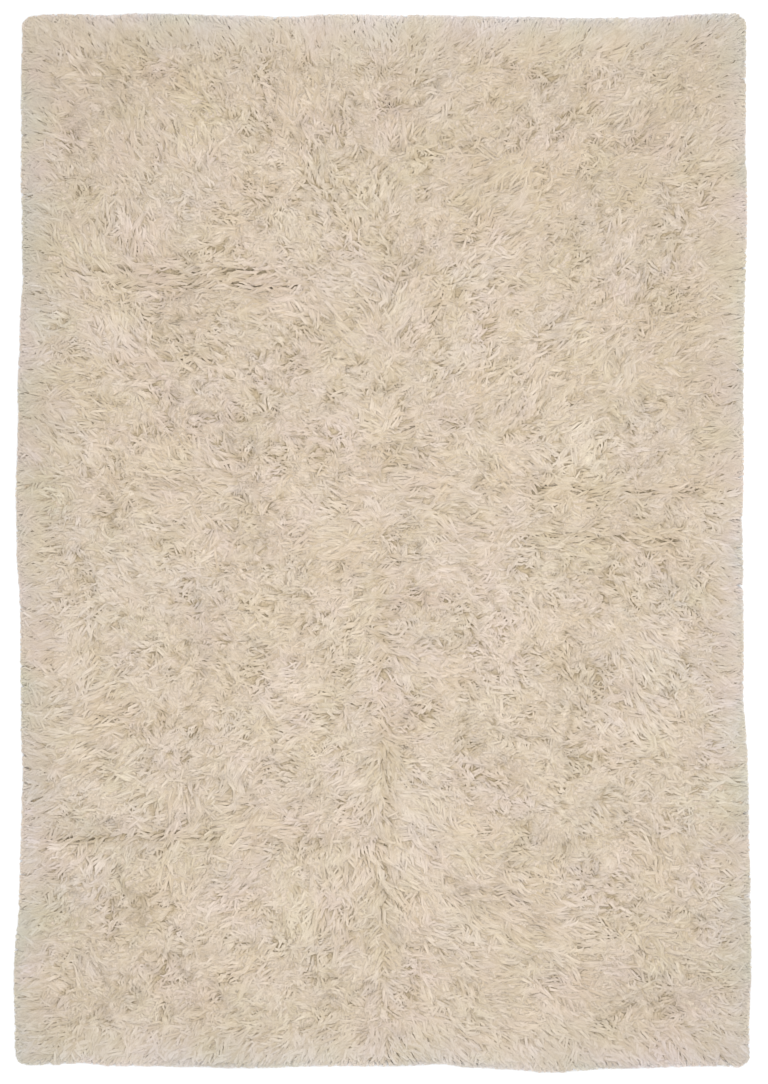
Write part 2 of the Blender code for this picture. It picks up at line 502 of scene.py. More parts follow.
class RimLine:
    """The line that the tips of the pile reach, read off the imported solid's four sides.

    Attributes:
        half: Half of the solid's width and length, in metres.
        sides: For each axis and sign, the places along a side and how far out it reaches there.
    """

    def __init__(self, places: Array, window: float = 0.045, stations: int = 30) -> None:
        """Read the four sides.

        Args:
            places: The solid's points.
            window: Half length of rim that a station looks at, in metres.
            stations: Stations on each side.
        """
        low, high = places.min(0), places.max(0)
        self.half = (high - low)[:2] / 2
        self.sides: dict[tuple[int, int], tuple[Array, Array]] = {}
        for axis in (0, 1):
            other = 1 - axis
            end = self.half[other] - window
            along = np.linspace(-end, end, stations)
            for sign in (-1, 1):
                out = places[:, axis] * sign
                reach = [out[np.abs(places[:, other] - at) < window].max() for at in along]
                self.sides[axis, sign] = along, np.array(reach)

    def gaps(self, x: Array, y: Array) -> tuple[Array, Array]:
        """Measure how far inside the sides' lines places lie.

        Args:
            x: Places along X.
            y: Places along Y.

        Returns:
            The distances from the nearer long side and from the nearer short side, in metres.
        """
        gap_x = np.minimum(
            np.interp(y, *self.sides[0, -1]) + x,
            np.interp(y, *self.sides[0, 1]) - x,
        )
        gap_y = np.minimum(
            np.interp(x, *self.sides[1, -1]) + y,
            np.interp(x, *self.sides[1, 1]) - y,
        )
        return gap_x, gap_y

    def distance(self, x: Array, y: Array, corner: float = 0.026) -> Array:
        """Return how far inside the rim line places lie, in metres.

        Args:
            x: Places along X.
            y: Places along Y.
            corner: Radius of the rug's corners.

        Returns:
            The distances, less than 0 outside.
        """
        gap_x, gap_y = self.gaps(x, y)
        square = np.minimum(gap_x, gap_y)
        past = np.hypot(np.maximum(corner - gap_x, 0), np.maximum(corner - gap_y, 0))
        return np.where(past > 0, np.minimum(square, corner - past), square)

    def reach(
        self, root: Array, heading: Array, inset: Array, most: float = 0.12, halvings: int = 12
    ) -> Array:
        """Return how far it is from roots, straight along headings, to near the rim line.

        Args:
            root: Places inside the line.
            heading: Directions, as angles from +X.
            inset: How far short of the line to stop, in metres.
            most: Greatest length looked at.
            halvings: How often the stretch that holds the answer is halved.

        Returns:
            The lengths, in metres.
        """
        low, high = np.zeros(len(root)), np.full(len(root), most)
        for _ in range(halvings):
            middle = (low + high) / 2
            x = root[:, 0] + np.cos(heading) * middle
            y = root[:, 1] + np.sin(heading) * middle
            short = self.distance(x, y) > inset
            low, high = np.where(short, middle, low), np.where(short, high, middle)
        return low

    def outward(
        self, x: Array, y: Array, corner: float = 0.15, least: float = 1e-9
    ) -> tuple[Array, Array]:
        """Find the way out over the nearest rim, fanned at corners.

        Args:
            x: Places along X.
            y: Places along Y.
            corner: How far from a rim its pull is felt, in metres.
            least: Pull of a rim that is farther off.

        Returns:
            Unit directions, along X and along Y.
        """
        gap_x = self.half[0] - np.abs(x)
        gap_y = self.half[1] - np.abs(y)
        pull_x = np.maximum(corner - gap_x, 0) ** 2 + least
        pull_y = np.maximum(corner - gap_y, 0) ** 2 + least
        size = np.hypot(pull_x, pull_y)
        return np.sign(x) * pull_x / size, np.sign(y) * pull_y / size


@dataclass
class PileForm:
    """The pile's height and comb over the whole rug.

    Attributes:
        rim: The line that the tips reach.
        solid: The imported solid, to read its lumps from.
        pitch: Distance between the places where its top is read, in metres.
        shoulder: Distance over which the pile rolls down to the rim line, in metres.
        edge: Height of the pile at the rim line, in metres.
        tuft_height: How far its tufts rise and fall, in metres.
        hollow: How deep it sags between its tufts, in metres.
        sag_start: Value of the hollows' field where the sagging starts.
        sag_reach: How much more of it makes the deepest hollows.
        rim_band: Width of the band where the locks lie straight outward, in metres.
        frizz_mean: How curly the pile is over the field, where 1 is frizzy.
        frizz_swing: How much that varies.
        frizz_gap: Width of the band at the rim line without frizz, in widths of the rim band.
        parting_width: Half width of the parting along the long middle line, in metres.
        comb_middle: Place along Y that the nap runs away from, in metres.
        fan: How strongly the nap runs towards the short sides.
        turn: How far broad swirls turn it, in radians.
        turn_small: How far small swirls do, in radians.
        patch_pull: How strongly a combed patch turns it.
        rim_pull: How strongly the rim does.
        rim_start: How far inside the rim line that starts, in widths of the rim band.
        swirl: Field of the broad swirls.
        swirl_small: Field of the small swirls.
        frizz: Field of the frizzy places.
        tufts: Field of the tufts.
        hollows: Field of the hollows between them.
        lumps: Heights of the solid's top over an even grid, in metres.
    """

    rim: RimLine
    solid: BVHTree
    pitch: float = 0.02
    shoulder: float = 0.118
    edge: float = 0.0035
    tuft_height: float = 0.0025
    hollow: float = 0.0042
    sag_start: float = -0.10
    sag_reach: float = 0.75
    rim_band: float = 0.085
    frizz_mean: float = 0.9
    frizz_swing: float = 0.9
    frizz_gap: float = 0.5
    parting_width: float = 0.030
    comb_middle: float = -0.100
    fan: float = 0.70
    turn: float = 0.55
    turn_small: float = 0.30
    patch_pull: float = 4.0
    rim_pull: float = 2.2
    rim_start: float = 1.35
    swirl: SmoothField = SmoothField(0.150, 5)
    swirl_small: SmoothField = SmoothField(0.055, 6)
    frizz: SmoothField = SmoothField(0.085, 8)
    tufts: SmoothField = SmoothField(0.030, 9)
    hollows: SmoothField = SmoothField(0.016, 12)
    lumps: Array = field(init=False)

    def __post_init__(self) -> None:
        """Read the solid's lumpy top on an even grid."""
        half = self.rim.half
        columns = int(2 * half[0] / self.pitch) + 2
        rows = int(2 * half[1] / self.pitch) + 2
        self.lumps = np.zeros((columns, rows))
        inner = half - self.shoulder - self.pitch
        well_above = 1.0
        down = Vector((0, 0, -1))
        for i in range(columns):
            for j in range(rows):
                x = np.clip(i * self.pitch - half[0], -inner[0], inner[0])
                y = np.clip(j * self.pitch - half[1], -inner[1], inner[1])
                hit = self.solid.ray_cast(Vector((x, y, well_above)), down)[0]
                self.lumps[i, j] = hit.z

    def lump(self, x: Array, y: Array) -> Array:
        """Read the height of the solid's top, without its rolled rim.

        Args:
            x: Places along X.
            y: Places along Y.

        Returns:
            Heights over the floor, in metres.
        """
        last = np.array(self.lumps.shape) - GRID_END
        across = np.clip((x + self.rim.half[0]) / self.pitch, 0, last[0])
        along = np.clip((y + self.rim.half[1]) / self.pitch, 0, last[1])
        i, j = across.astype(int), along.astype(int)
        near = mix(self.lumps[i, j], self.lumps[i + 1, j], across - i)
        far = mix(self.lumps[i, j + 1], self.lumps[i + 1, j + 1], across - i)
        return mix(near, far, along - j)

    def top(self, x: Array, y: Array) -> Array:
        """Return the height of the pile's top.

        Args:
            x: Places along X.
            y: Places along Y.

        Returns:
            Heights over the floor, in metres, and the edge's height outside the rim line.
        """
        inside = np.clip(self.rim.distance(x, y) / self.shoulder, 0, 1)
        roll = np.sqrt(1 - (1 - inside) ** 2)
        uneven = self.tuft_height * self.tufts.at(x, y) - self.hollow * self.sag(x, y)
        return mix(self.edge, self.lump(x, y) + uneven * inside, roll)

    def sag(self, x: Array, y: Array) -> Array:
        """Return how far the pile sags between its tufts, from 0 to 1."""
        return ease((self.hollows.at(x, y) - self.sag_start) / self.sag_reach)

    def normal(
        self, x: Array, y: Array, relief: float, rim_relief: float = 0.35, step: float = 0.006
    ) -> Array:
        """Return unit normals of the pile's top.

        Args:
            x: Places along X.
            y: Places along Y.
            relief: How many times as steep as the top they stand.
            rim_relief: How many times as steep they stand at the rim line.
            step: Distance over which the slope is read, in metres.

        Returns:
            One X, Y, Z for each place, as a last axis.
        """
        slope_x = (self.top(x + step, y) - self.top(x - step, y)) / (2 * step)
        slope_y = (self.top(x, y + step) - self.top(x, y - step)) / (2 * step)
        steep = mix(rim_relief, relief, ease(self.rim.distance(x, y) / self.shoulder))
        upright = np.stack([-steep * slope_x, -steep * slope_y, np.ones_like(slope_x)], -1)
        return upright / np.linalg.norm(upright, axis=-1, keepdims=True)

    def curl(self, x: Array, y: Array) -> Array:
        """Tell how curly the pile is.

        Args:
            x: Places along X.
            y: Places along Y.

        Returns:
            Shares from 0, combed flat, to 1, frizzy.
        """
        inside = self.rim.distance(x, y)
        frizz = ease(self.frizz_mean + self.frizz_swing * self.frizz.at(x, y))
        frizz = frizz * ease(inside / self.rim_band - self.frizz_gap)
        for patch in PATCHES:
            frizz = frizz * (1 - patch.weight(x, y))
        for line in FOLD_LINES:
            frizz = frizz * (1 - line.nearness(x, y))
        return frizz

    def cleft(self, x: Array, y: Array) -> Array:
        """Tell how deep places lie in the slits of old folds.

        Args:
            x: Places along X.
            y: Places along Y.

        Returns:
            About 1 in a slit, falling to 0 beside it.
        """
        deepest = np.zeros_like(x)
        for line in FOLD_LINES:
            deepest = np.maximum(deepest, line.cleft(x, y))
        return deepest

    def heading(self, x: Array, y: Array) -> Array:
        """Return the direction the pile is combed in.

        The nap runs outward to the left and right of the long middle line, and a little towards
        the nearer short side. Swirls, combed patches, old folds and the rim turn it.

        Args:
            x: Places along X.
            y: Places along Y.

        Returns:
            Angles from +X.
        """
        inside = self.rim.distance(x, y)
        from_middle = np.tanh(x / self.parting_width)
        to_ends = self.fan * (y - self.comb_middle) / self.rim.half[1]
        turn = self.turn * self.swirl.at(x, y) + self.turn_small * self.swirl_small.at(x, y)
        go_x = from_middle * np.cos(turn) - to_ends * np.sin(turn)
        go_y = from_middle * np.sin(turn) + to_ends * np.cos(turn)
        for patch in PATCHES:
            weight = self.patch_pull * patch.weight(x, y)
            go_x = go_x + weight * math.cos(math.radians(patch.angle))
            go_y = go_y + weight * math.sin(math.radians(patch.angle))
        for line in FOLD_LINES:
            if line.run is Run.ACROSS:
                go_x = go_x + line.pull * line.nearness(x, y) * np.sign(x)
        out_x, out_y = self.rim.outward(x, y)
        at_rim = self.rim_pull * ease(self.rim_start - inside / self.rim_band)
        return np.arctan2(go_y + at_rim * out_y, go_x + at_rim * out_x)


@dataclass(frozen=True)
class RimFade:
    """Something strongest at a rim, which fades inward over a narrow and a broad band.

    Attributes:
        narrow: Its strength in the narrow band.
        narrow_reach: Distance over which that fades, in metres.
        broad: Its strength in the broad band.
        broad_reach: Distance over which that fades, in metres.
    """

    narrow: float
    narrow_reach: float
    broad: float
    broad_reach: float

    def at(self, gap: Array) -> Array:
        """Return its strength at distances from the rim."""
        narrow = self.narrow * np.exp(-gap / self.narrow_reach)
        return narrow + self.broad * np.exp(-gap / self.broad_reach)


@dataclass(frozen=True)
class PileShade:
    """Where on the rug the wool is painted lighter or darker, paler at the rim and its tips, or evenly shaded.

    Attributes:
        form: The pile's form.
        side_bleach: How strongly paler, cooler painted light lies on its long sides.
        end_bleach: How strongly it lies on its short sides.
        bleach_mean: Share of that painted light over the whole rug.
        bleach_swing: How much that share varies.
        bleach_most: The most painted rim light that the wool takes.
        calm_sides: How evenly the wool is shaded at the long sides.
        calm_side_reach: Distance over which that fades, in metres.
        calm_end_reach: Distance over which it fades at the short sides, in metres.
        frayed: Distance over which the painted light on the tips at the rim line fades inward, in metres.
        broad_cloud: How much light the broadest clouds give and take.
        middling_cloud: How much the smaller clouds do.
        small_cloud: How much the smallest do.
        middle: The lightest place, the middle of a painted pool of light, in metres along X and Y.
        middle_light: How much lighter than the rest it is painted.
        falling: How fast that falls away from it, by square metres.
        falling_along: Share of that fall along Y.
        end_light: How much lighter the short sides are painted, against the shade where the pile rolls down.
        end_reach: Distance over which that fades, in metres.
        side_dark: How much darker the long sides are painted, as painted shade.
        side_reach: Distance over which that fades, in metres.
        fold_dark: How much darker old folds are painted, as painted shade in their creases.
    """

    form: PileForm
    # Painted light: the wool is painted paler and cooler towards the rim, for how light falls on the rolled-down rim.
    side_bleach: RimFade = RimFade(0.50, 0.026, 0.50, 0.130)
    end_bleach: RimFade = RimFade(0.48, 0.026, 0.30, 0.078)
    bleach_mean: float = 0.95
    bleach_swing: float = 0.25
    bleach_most: float = 0.85
    calm_sides: float = 0.45
    calm_side_reach: float = 0.060
    calm_end_reach: float = 0.090
    # Painted light on the tips at the rim line, standing in for light through them.
    frayed: float = 0.008
    broad_cloud: float = 0.4
    middling_cloud: float = 0.5
    small_cloud: float = 0.5
    # Painted light and shade: a lighter middle that falls away, lighter short sides, darker long sides and folds.
    middle: Span = (-0.02, -0.38)
    middle_light: float = 0.5
    falling: float = 1.1
    falling_along: float = 0.6
    end_light: float = 0.9
    end_reach: float = 0.09
    side_dark: float = 1.50
    side_reach: float = 0.10
    fold_dark: float = 0.9

    def _inside(self, x: Array, y: Array) -> list[Array]:
        """Return how far inside the long and the short sides places lie, 0 outside."""
        return [np.maximum(gap, 0) for gap in self.form.rim.gaps(x, y)]

    def bleach(self, x: Array, y: Array) -> Array:
        """Tell how strongly paler, cooler painted light lies on the wool near the rim.

        Args:
            x: Places along X.
            y: Places along Y.

        Returns:
            Shares, greatest at the rim line and towards 0 inside it.
        """
        gap_x, gap_y = self._inside(x, y)
        # Painted light, paler and cooler towards the rim line.
        strongest = np.maximum(self.side_bleach.at(gap_x), self.end_bleach.at(gap_y))
        share = self.bleach_mean + self.bleach_swing * self.form.frizz.at(x, y)
        return np.minimum(strongest * share, self.bleach_most)

    def calm(self, x: Array, y: Array) -> Array:
        """Tell how evenly the wool is shaded.

        Args:
            x: Places along X.
            y: Places along Y.

        Returns:
            Shares from 0 over the field to 1 at the short sides.
        """
        gap_x, gap_y = self._inside(x, y)
        at_sides = self.calm_sides * np.exp(-((gap_x / self.calm_side_reach) ** 2))
        at_ends = np.exp(-((gap_y / self.calm_end_reach) ** 2))
        return np.maximum(at_sides, at_ends)

    def fray(self, x: Array, y: Array) -> Array:
        """Return how strongly the tips are painted lighter, from 1 at the rim line to 0 a little inside it."""
        return np.exp(-np.maximum(self.form.rim.distance(x, y), 0) / self.frayed)

    def light(self, x: Array, y: Array) -> Array:
        """Tell how much lighter or darker the pile is painted from place to place.

        Args:
            x: Places along X.
            y: Places along Y.

        Returns:
            Tones, about -1 to 1.
        """
        form = self.form
        cloud = self.broad_cloud * form.frizz.at(y, x)
        cloud = cloud + self.middling_cloud * form.swirl_small.at(y, x)
        cloud = cloud + self.small_cloud * form.tufts.at(y, x)
        # Painted pool of light, falling away from the middle.
        off_x, off_y = x - self.middle[0], y - self.middle[1]
        fall = self.falling * (off_x**2 + self.falling_along * off_y**2)
        cloud = cloud + self.middle_light - fall
        gap_x, gap_y = self._inside(x, y)
        # Painted light on the short sides, painted shade on the long sides.
        cloud = cloud + self.end_light * np.exp(-gap_y / self.end_reach)
        cloud = cloud - self.side_dark * np.exp(-gap_x / self.side_reach)
        # Combed patches painted lighter, as painted light on smooth wool.
        for patch in PATCHES:
            cloud = cloud + patch.light * patch.weight(x, y)
        # Painted shade in the creases of old folds.
        for line in FOLD_LINES:
            cloud = cloud - self.fold_dark * line.nearness(x, y)
        return cloud


# ----------------------------------------------------------
# Wool locks
# ----------------------------------------------------------


STRAND_LENGTH = 0.05  # length of lock that is 1 long on the strand map, in metres
STRAND_SHIFT = 1.37  # how far apart the locks lie on the strand map
CELL_MARGIN = 0.08  # empty share of a lock's cell in the map for baking, on each side
ROOT_DEPTH = 0.7  # how much of that cell is kept for the root's face, in spans
ROOT_PLACES = ((0.0, -0.6), (1.5, -0.1), (3.0, -0.6))  # its corners, in sides and spans


def record(mesh: bpy.types.Mesh, name: str, values: Array) -> None:
    """Keep one number for each point of a mesh, as an attribute."""
    layer = mesh.attributes.new(name, "FLOAT", "POINT")
    layer.data.foreach_set("value", values.astype(np.float32))


@dataclass
class Locks:
    """Many locks of wool, one row of every array for each.

    Attributes:
        root: Where each leaves the bed, in plan.
        heading: Direction of its root, as an angle from +X.
        length: Length in plan, in metres.
        width: Greatest width, in metres.
        bend: How far it turns from root to tip, in radians.
        wave: How far it waves to either side, in radians.
        phase: Where its wave starts, in radians.
        offset: Distance of its root from its clump's middle line, to the left, in metres.
        gather: Share of that distance which it has lost at its tip.
        lift: How high its middle rides over the pile's top, in metres.
        tone: Its tone, from 0 to 1: its own random tone, with painted light and shade added.
        level: Share of the pile's height that it rides at.
    """

    root: Array
    heading: Array
    length: Array
    width: Array
    bend: Array
    wave: Array
    phase: Array
    offset: Array
    gather: Array
    lift: Array
    tone: Array
    level: Array

    def chosen(self, which: Array) -> "Locks":
        """Return some of the locks."""
        return Locks(*(getattr(self, name)[which] for name in self.__dataclass_fields__))

    def __len__(self) -> int:
        """Return how many there are."""
        return len(self.heading)


@dataclass(frozen=True)
class LockMesher:
    """Makes closed, tapered, three-sided locks along wavy paths.

    Attributes:
        form: The pile's form, which the locks lie in.
        shade: Where its wool is painted lighter at the rim and its tips, or evenly shaded.
        profile: Where a lock's stations lie, as shares of its length, and its width at each, as
            a share of its greatest.
        sides: Sides of its section.
        waves: Waves from root to tip.
        drawn: Power by which its stations draw a little apart towards its tip.
        gathering: Power by which it nears its clump's middle line.
        depth: How far its root lies under the pile's top, in metres.
        rise_at: Places along it, as shares of its length.
        rise: How far it lies over the pile's top at them, in depths.
        arch_reach: How many arches would fit in its length, past the first of which it lies flat.
        arch_power: Power that rounds the arch.
        sunk: Least height of its middle over the floor, in widths.
        flatness: Height of its section, as a share of its width.
        roll: How far its section is turned, as a share of its wave's phase.
        clearance: Least height of its points over the floor, in metres.
        softness: Share of the pile top's shading in it, the rest being its own faces'.
        relief: How many times as steep as the top that shading is.
    """

    form: PileForm
    shade: PileShade
    profile: Profile
    sides: int = 3
    waves: float = 0.80
    drawn: float = 1.12
    gathering: float = 1.2
    depth: float = 0.0045
    rise_at: tuple[float, ...] = (0.0, 0.25, 0.5, 0.75, 1.0)
    rise: tuple[float, ...] = (-1.0, -0.2, 0.0, 0.05, -0.15)
    arch_reach: float = 1.1
    arch_power: float = 0.8
    sunk: float = 0.4
    flatness: float = 0.40
    roll: float = 0.35
    clearance: float = 0.0004
    softness: float = 0.88
    relief: float = 1.6

    @property
    def spans(self) -> int:
        """How many stretches a lock has from root to tip."""
        return len(self.profile)

    @property
    def stations(self) -> Array:
        """Where a lock's stations lie, as shares of its length, the tip last."""
        return np.array([*(share for share, _ in self.profile), 1.0])

    def paths(self, locks: Locks) -> Array:
        """Return the paths of locks.

        Args:
            locks: The locks.

        Returns:
            An array of lock, station from root to tip, and X, Y, Z.
        """
        share = self.stations
        middle = (share[1:] + share[:-1]) / 2
        step = np.diff(share**self.drawn) * locks.length[:, None]
        swing = np.sin(math.tau * self.waves * middle + locks.phase[:, None])
        angle = locks.heading[:, None] + locks.bend[:, None] * middle + locks.wave[:, None] * swing
        path = np.zeros((len(locks), self.spans + 1, 3))
        path[:, 1:, 0] = np.cumsum(np.cos(angle) * step, axis=1)
        path[:, 1:, 1] = np.cumsum(np.sin(angle) * step, axis=1)
        path[:, :, :2] += locks.root[:, None]
        inward = (locks.offset * locks.gather)[:, None] * share**self.gathering
        path[:, :, 0] += np.sin(locks.heading)[:, None] * inward
        path[:, :, 1] -= np.cos(locks.heading)[:, None] * inward
        top = self.form.top(path[:, :, 0], path[:, :, 1]) * locks.level[:, None]
        rise = np.interp(share, self.rise_at, self.rise) * self.depth
        arch = np.sin(np.pi * np.clip(share * self.arch_reach, 0, 1)) ** self.arch_power
        height = top + rise + arch * locks.lift[:, None]
        path[:, :, 2] = np.maximum(height, locks.width[:, None] * self.sunk)
        return path

    def trimmed(
        self,
        locks: Locks,
        spare: float = 0.0014,
        rounds: int = 3,
        cut: float = 1.2,
        least: float = 0.006,
    ) -> Locks:
        """Shorten the locks whose tips pass the rim line.

        Args:
            locks: The locks.
            spare: How far past the line a tip may reach, in metres.
            rounds: How often each tip is looked at again.
            cut: How much is cut off, as a share of how far a tip is past that.
            least: Length that a lock keeps in any case, in metres.

        Returns:
            The locks, none of them much past the line.
        """
        for _ in range(rounds):
            tip = self.paths(locks)[:, -1]
            past = np.maximum(-self.form.rim.distance(tip[:, 0], tip[:, 1]) - spare, 0)
            locks = replace(locks, length=np.maximum(locks.length - cut * past, least))
        return locks

    def mesh(self, locks: Locks, name: str) -> bpy.types.Mesh:
        """Make one mesh of all the locks.

        Args:
            locks: The locks.
            name: The mesh's name.

        Returns:
            The mesh, with a map for baking and a map along its strands, and with the attributes
            "reach", from root to tip, "tone", "bleach", "calm" and "fray".
        """
        points, facing = self._skin(locks)
        x, y, _ = points.T
        mesh = bpy.data.meshes.new(name)
        self._fill(mesh, points, len(locks))
        share = np.repeat(self.stations[:-1], self.sides)
        record(mesh, "reach", np.tile(np.append(share, 1.0), len(locks)))
        record(mesh, "tone", np.repeat(locks.tone, self.spans * self.sides + 1))
        # The first and the last of these hold painted light.
        for place in (self.shade.bleach, self.shade.calm, self.shade.fray):
            record(mesh, place.__name__, place(x, y))
        self._map(mesh, locks)
        soft = facing * (1 - self.softness) + self.form.normal(x, y, self.relief) * self.softness
        soft /= np.linalg.norm(soft, axis=1, keepdims=True)
        mesh.normals_split_custom_set_from_vertices(soft.tolist())
        return mesh

    def _skin(self, locks: Locks) -> tuple[Array, Array]:
        """Lay a skin round the paths of locks.

        Args:
            locks: The locks.

        Returns:
            The skin's points, lock by lock from root to tip, and the way out at each.
        """
        path = self.paths(locks)
        along = np.gradient(path, axis=1)
        along /= np.linalg.norm(along, axis=2, keepdims=True) + TINY
        aside = np.cross((0.0, 0.0, 1.0), along)
        aside /= np.linalg.norm(aside, axis=2, keepdims=True) + TINY
        upward = np.cross(along, aside)
        ring = math.tau * np.arange(self.sides) / self.sides + math.pi / 2
        turned = ring + locks.phase[:, None, None] * self.roll
        cosine, sine = np.cos(turned)[..., None], np.sin(turned)[..., None]
        across, over = aside[:, :-1, None, :], upward[:, :-1, None, :]
        facing = across * cosine + over * sine
        half = locks.width[:, None] / 2 * np.array([width for _, width in self.profile])
        oval = across * cosine + over * sine * self.flatness
        points = path[:, :-1, None, :] + half[:, :, None, None] * oval
        shape = (len(locks), self.spans * self.sides, 3)
        points = np.concatenate([points.reshape(shape), path[:, -1:]], axis=1).reshape(-1, 3)
        facing = np.concatenate([facing.reshape(shape), along[:, -1:]], axis=1).reshape(-1, 3)
        points[:, 2] = np.maximum(points[:, 2], self.clearance)
        return points, facing

    def _faces(self) -> tuple[list[int], list[int], list[tuple[float, float]]]:
        """List the faces of one lock.

        Returns:
            The points at their corners, their sizes, and where their corners lie on the unrolled
            lock, in sides and spans.
        """
        sides, spans = self.sides, self.spans
        tip = spans * sides
        corners: list[int] = []
        sizes: list[int] = []
        places: list[tuple[float, float]] = []
        for span in range(spans - 1):
            for side in range(sides):
                after = (side + 1) % sides
                corners += [
                    span * sides + side,
                    span * sides + after,
                    (span + 1) * sides + after,
                    (span + 1) * sides + side,
                ]
                places += [(side, span), (side + 1, span), (side + 1, span + 1), (side, span + 1)]
                sizes.append(4)
        for side in range(sides):
            after = (side + 1) % sides
            corners += [(spans - 1) * sides + side, (spans - 1) * sides + after, tip]
            places += [(side, spans - 1), (side + 1, spans - 1), (side + 0.5, spans)]
            sizes.append(3)
        corners += list(reversed(range(sides)))
        places += ROOT_PLACES
        sizes.append(sides)
        return corners, sizes, places

    def _fill(self, mesh: bpy.types.Mesh, vertices: Array, count: int) -> None:
        """Put points and faces into a mesh.

        Args:
            mesh: The empty mesh.
            vertices: Its points.
            count: How many locks they make.
        """
        corners, sizes, _ = self._faces()
        each = self.spans * self.sides + 1
        shift = np.arange(count)[:, None] * each
        loops = (np.array(corners)[None, :] + shift).ravel()
        totals = np.tile(sizes, count)
        starts = np.concatenate([[0], np.cumsum(totals)[:-1]])
        mesh.vertices.add(len(vertices))
        mesh.vertices.foreach_set("co", vertices.astype(np.float32).ravel())
        mesh.loops.add(len(loops))
        mesh.loops.foreach_set("vertex_index", loops.astype(np.int32))
        mesh.polygons.add(len(totals))
        mesh.polygons.foreach_set("loop_start", starts.astype(np.int32))
        mesh.polygons.foreach_set("loop_total", totals.astype(np.int32))
        mesh.update(calc_edges=True)
        mesh.validate()
        mesh.shade_smooth()

    def _map(self, mesh: bpy.types.Mesh, locks: Locks) -> None:
        """Give a mesh of locks its two maps.

        Each lock has a cell of its own in the map for baking. On the strand map U runs once round
        a lock, and V runs along it by its real length.

        Args:
            mesh: The filled mesh.
            locks: The locks it was made from.
        """
        places = np.array(self._faces()[2])
        turns = places[:, 0] / self.sides
        count = len(locks)
        cells = math.ceil(math.sqrt(count))
        cell = np.arange(count)[:, None]
        inner = 1 - 2 * CELL_MARGIN
        unit_u = turns * inner + CELL_MARGIN
        unit_v = (places[:, 1] + ROOT_DEPTH) / (self.spans + ROOT_DEPTH) * inner + CELL_MARGIN
        baked = (cell % cells + unit_u) / cells, (cell // cells + unit_v) / cells
        down = np.interp(places[:, 1], np.arange(self.spans + 1), self.stations)
        strand_v = down * locks.length[:, None] / STRAND_LENGTH + cell
        strand = turns + cell * STRAND_SHIFT, strand_v
        for name, spots in ((BAKE_MAP, baked), (STRAND_MAP, strand)):
            layer = mesh.uv_layers.new(name=name)
            layer.uv.foreach_set("vector", np.stack(spots, -1).astype(np.float32).ravel())


# ----------------------------------------------------------
# Finishes
# ----------------------------------------------------------

WHITE = (1.0, 1.0, 1.0)


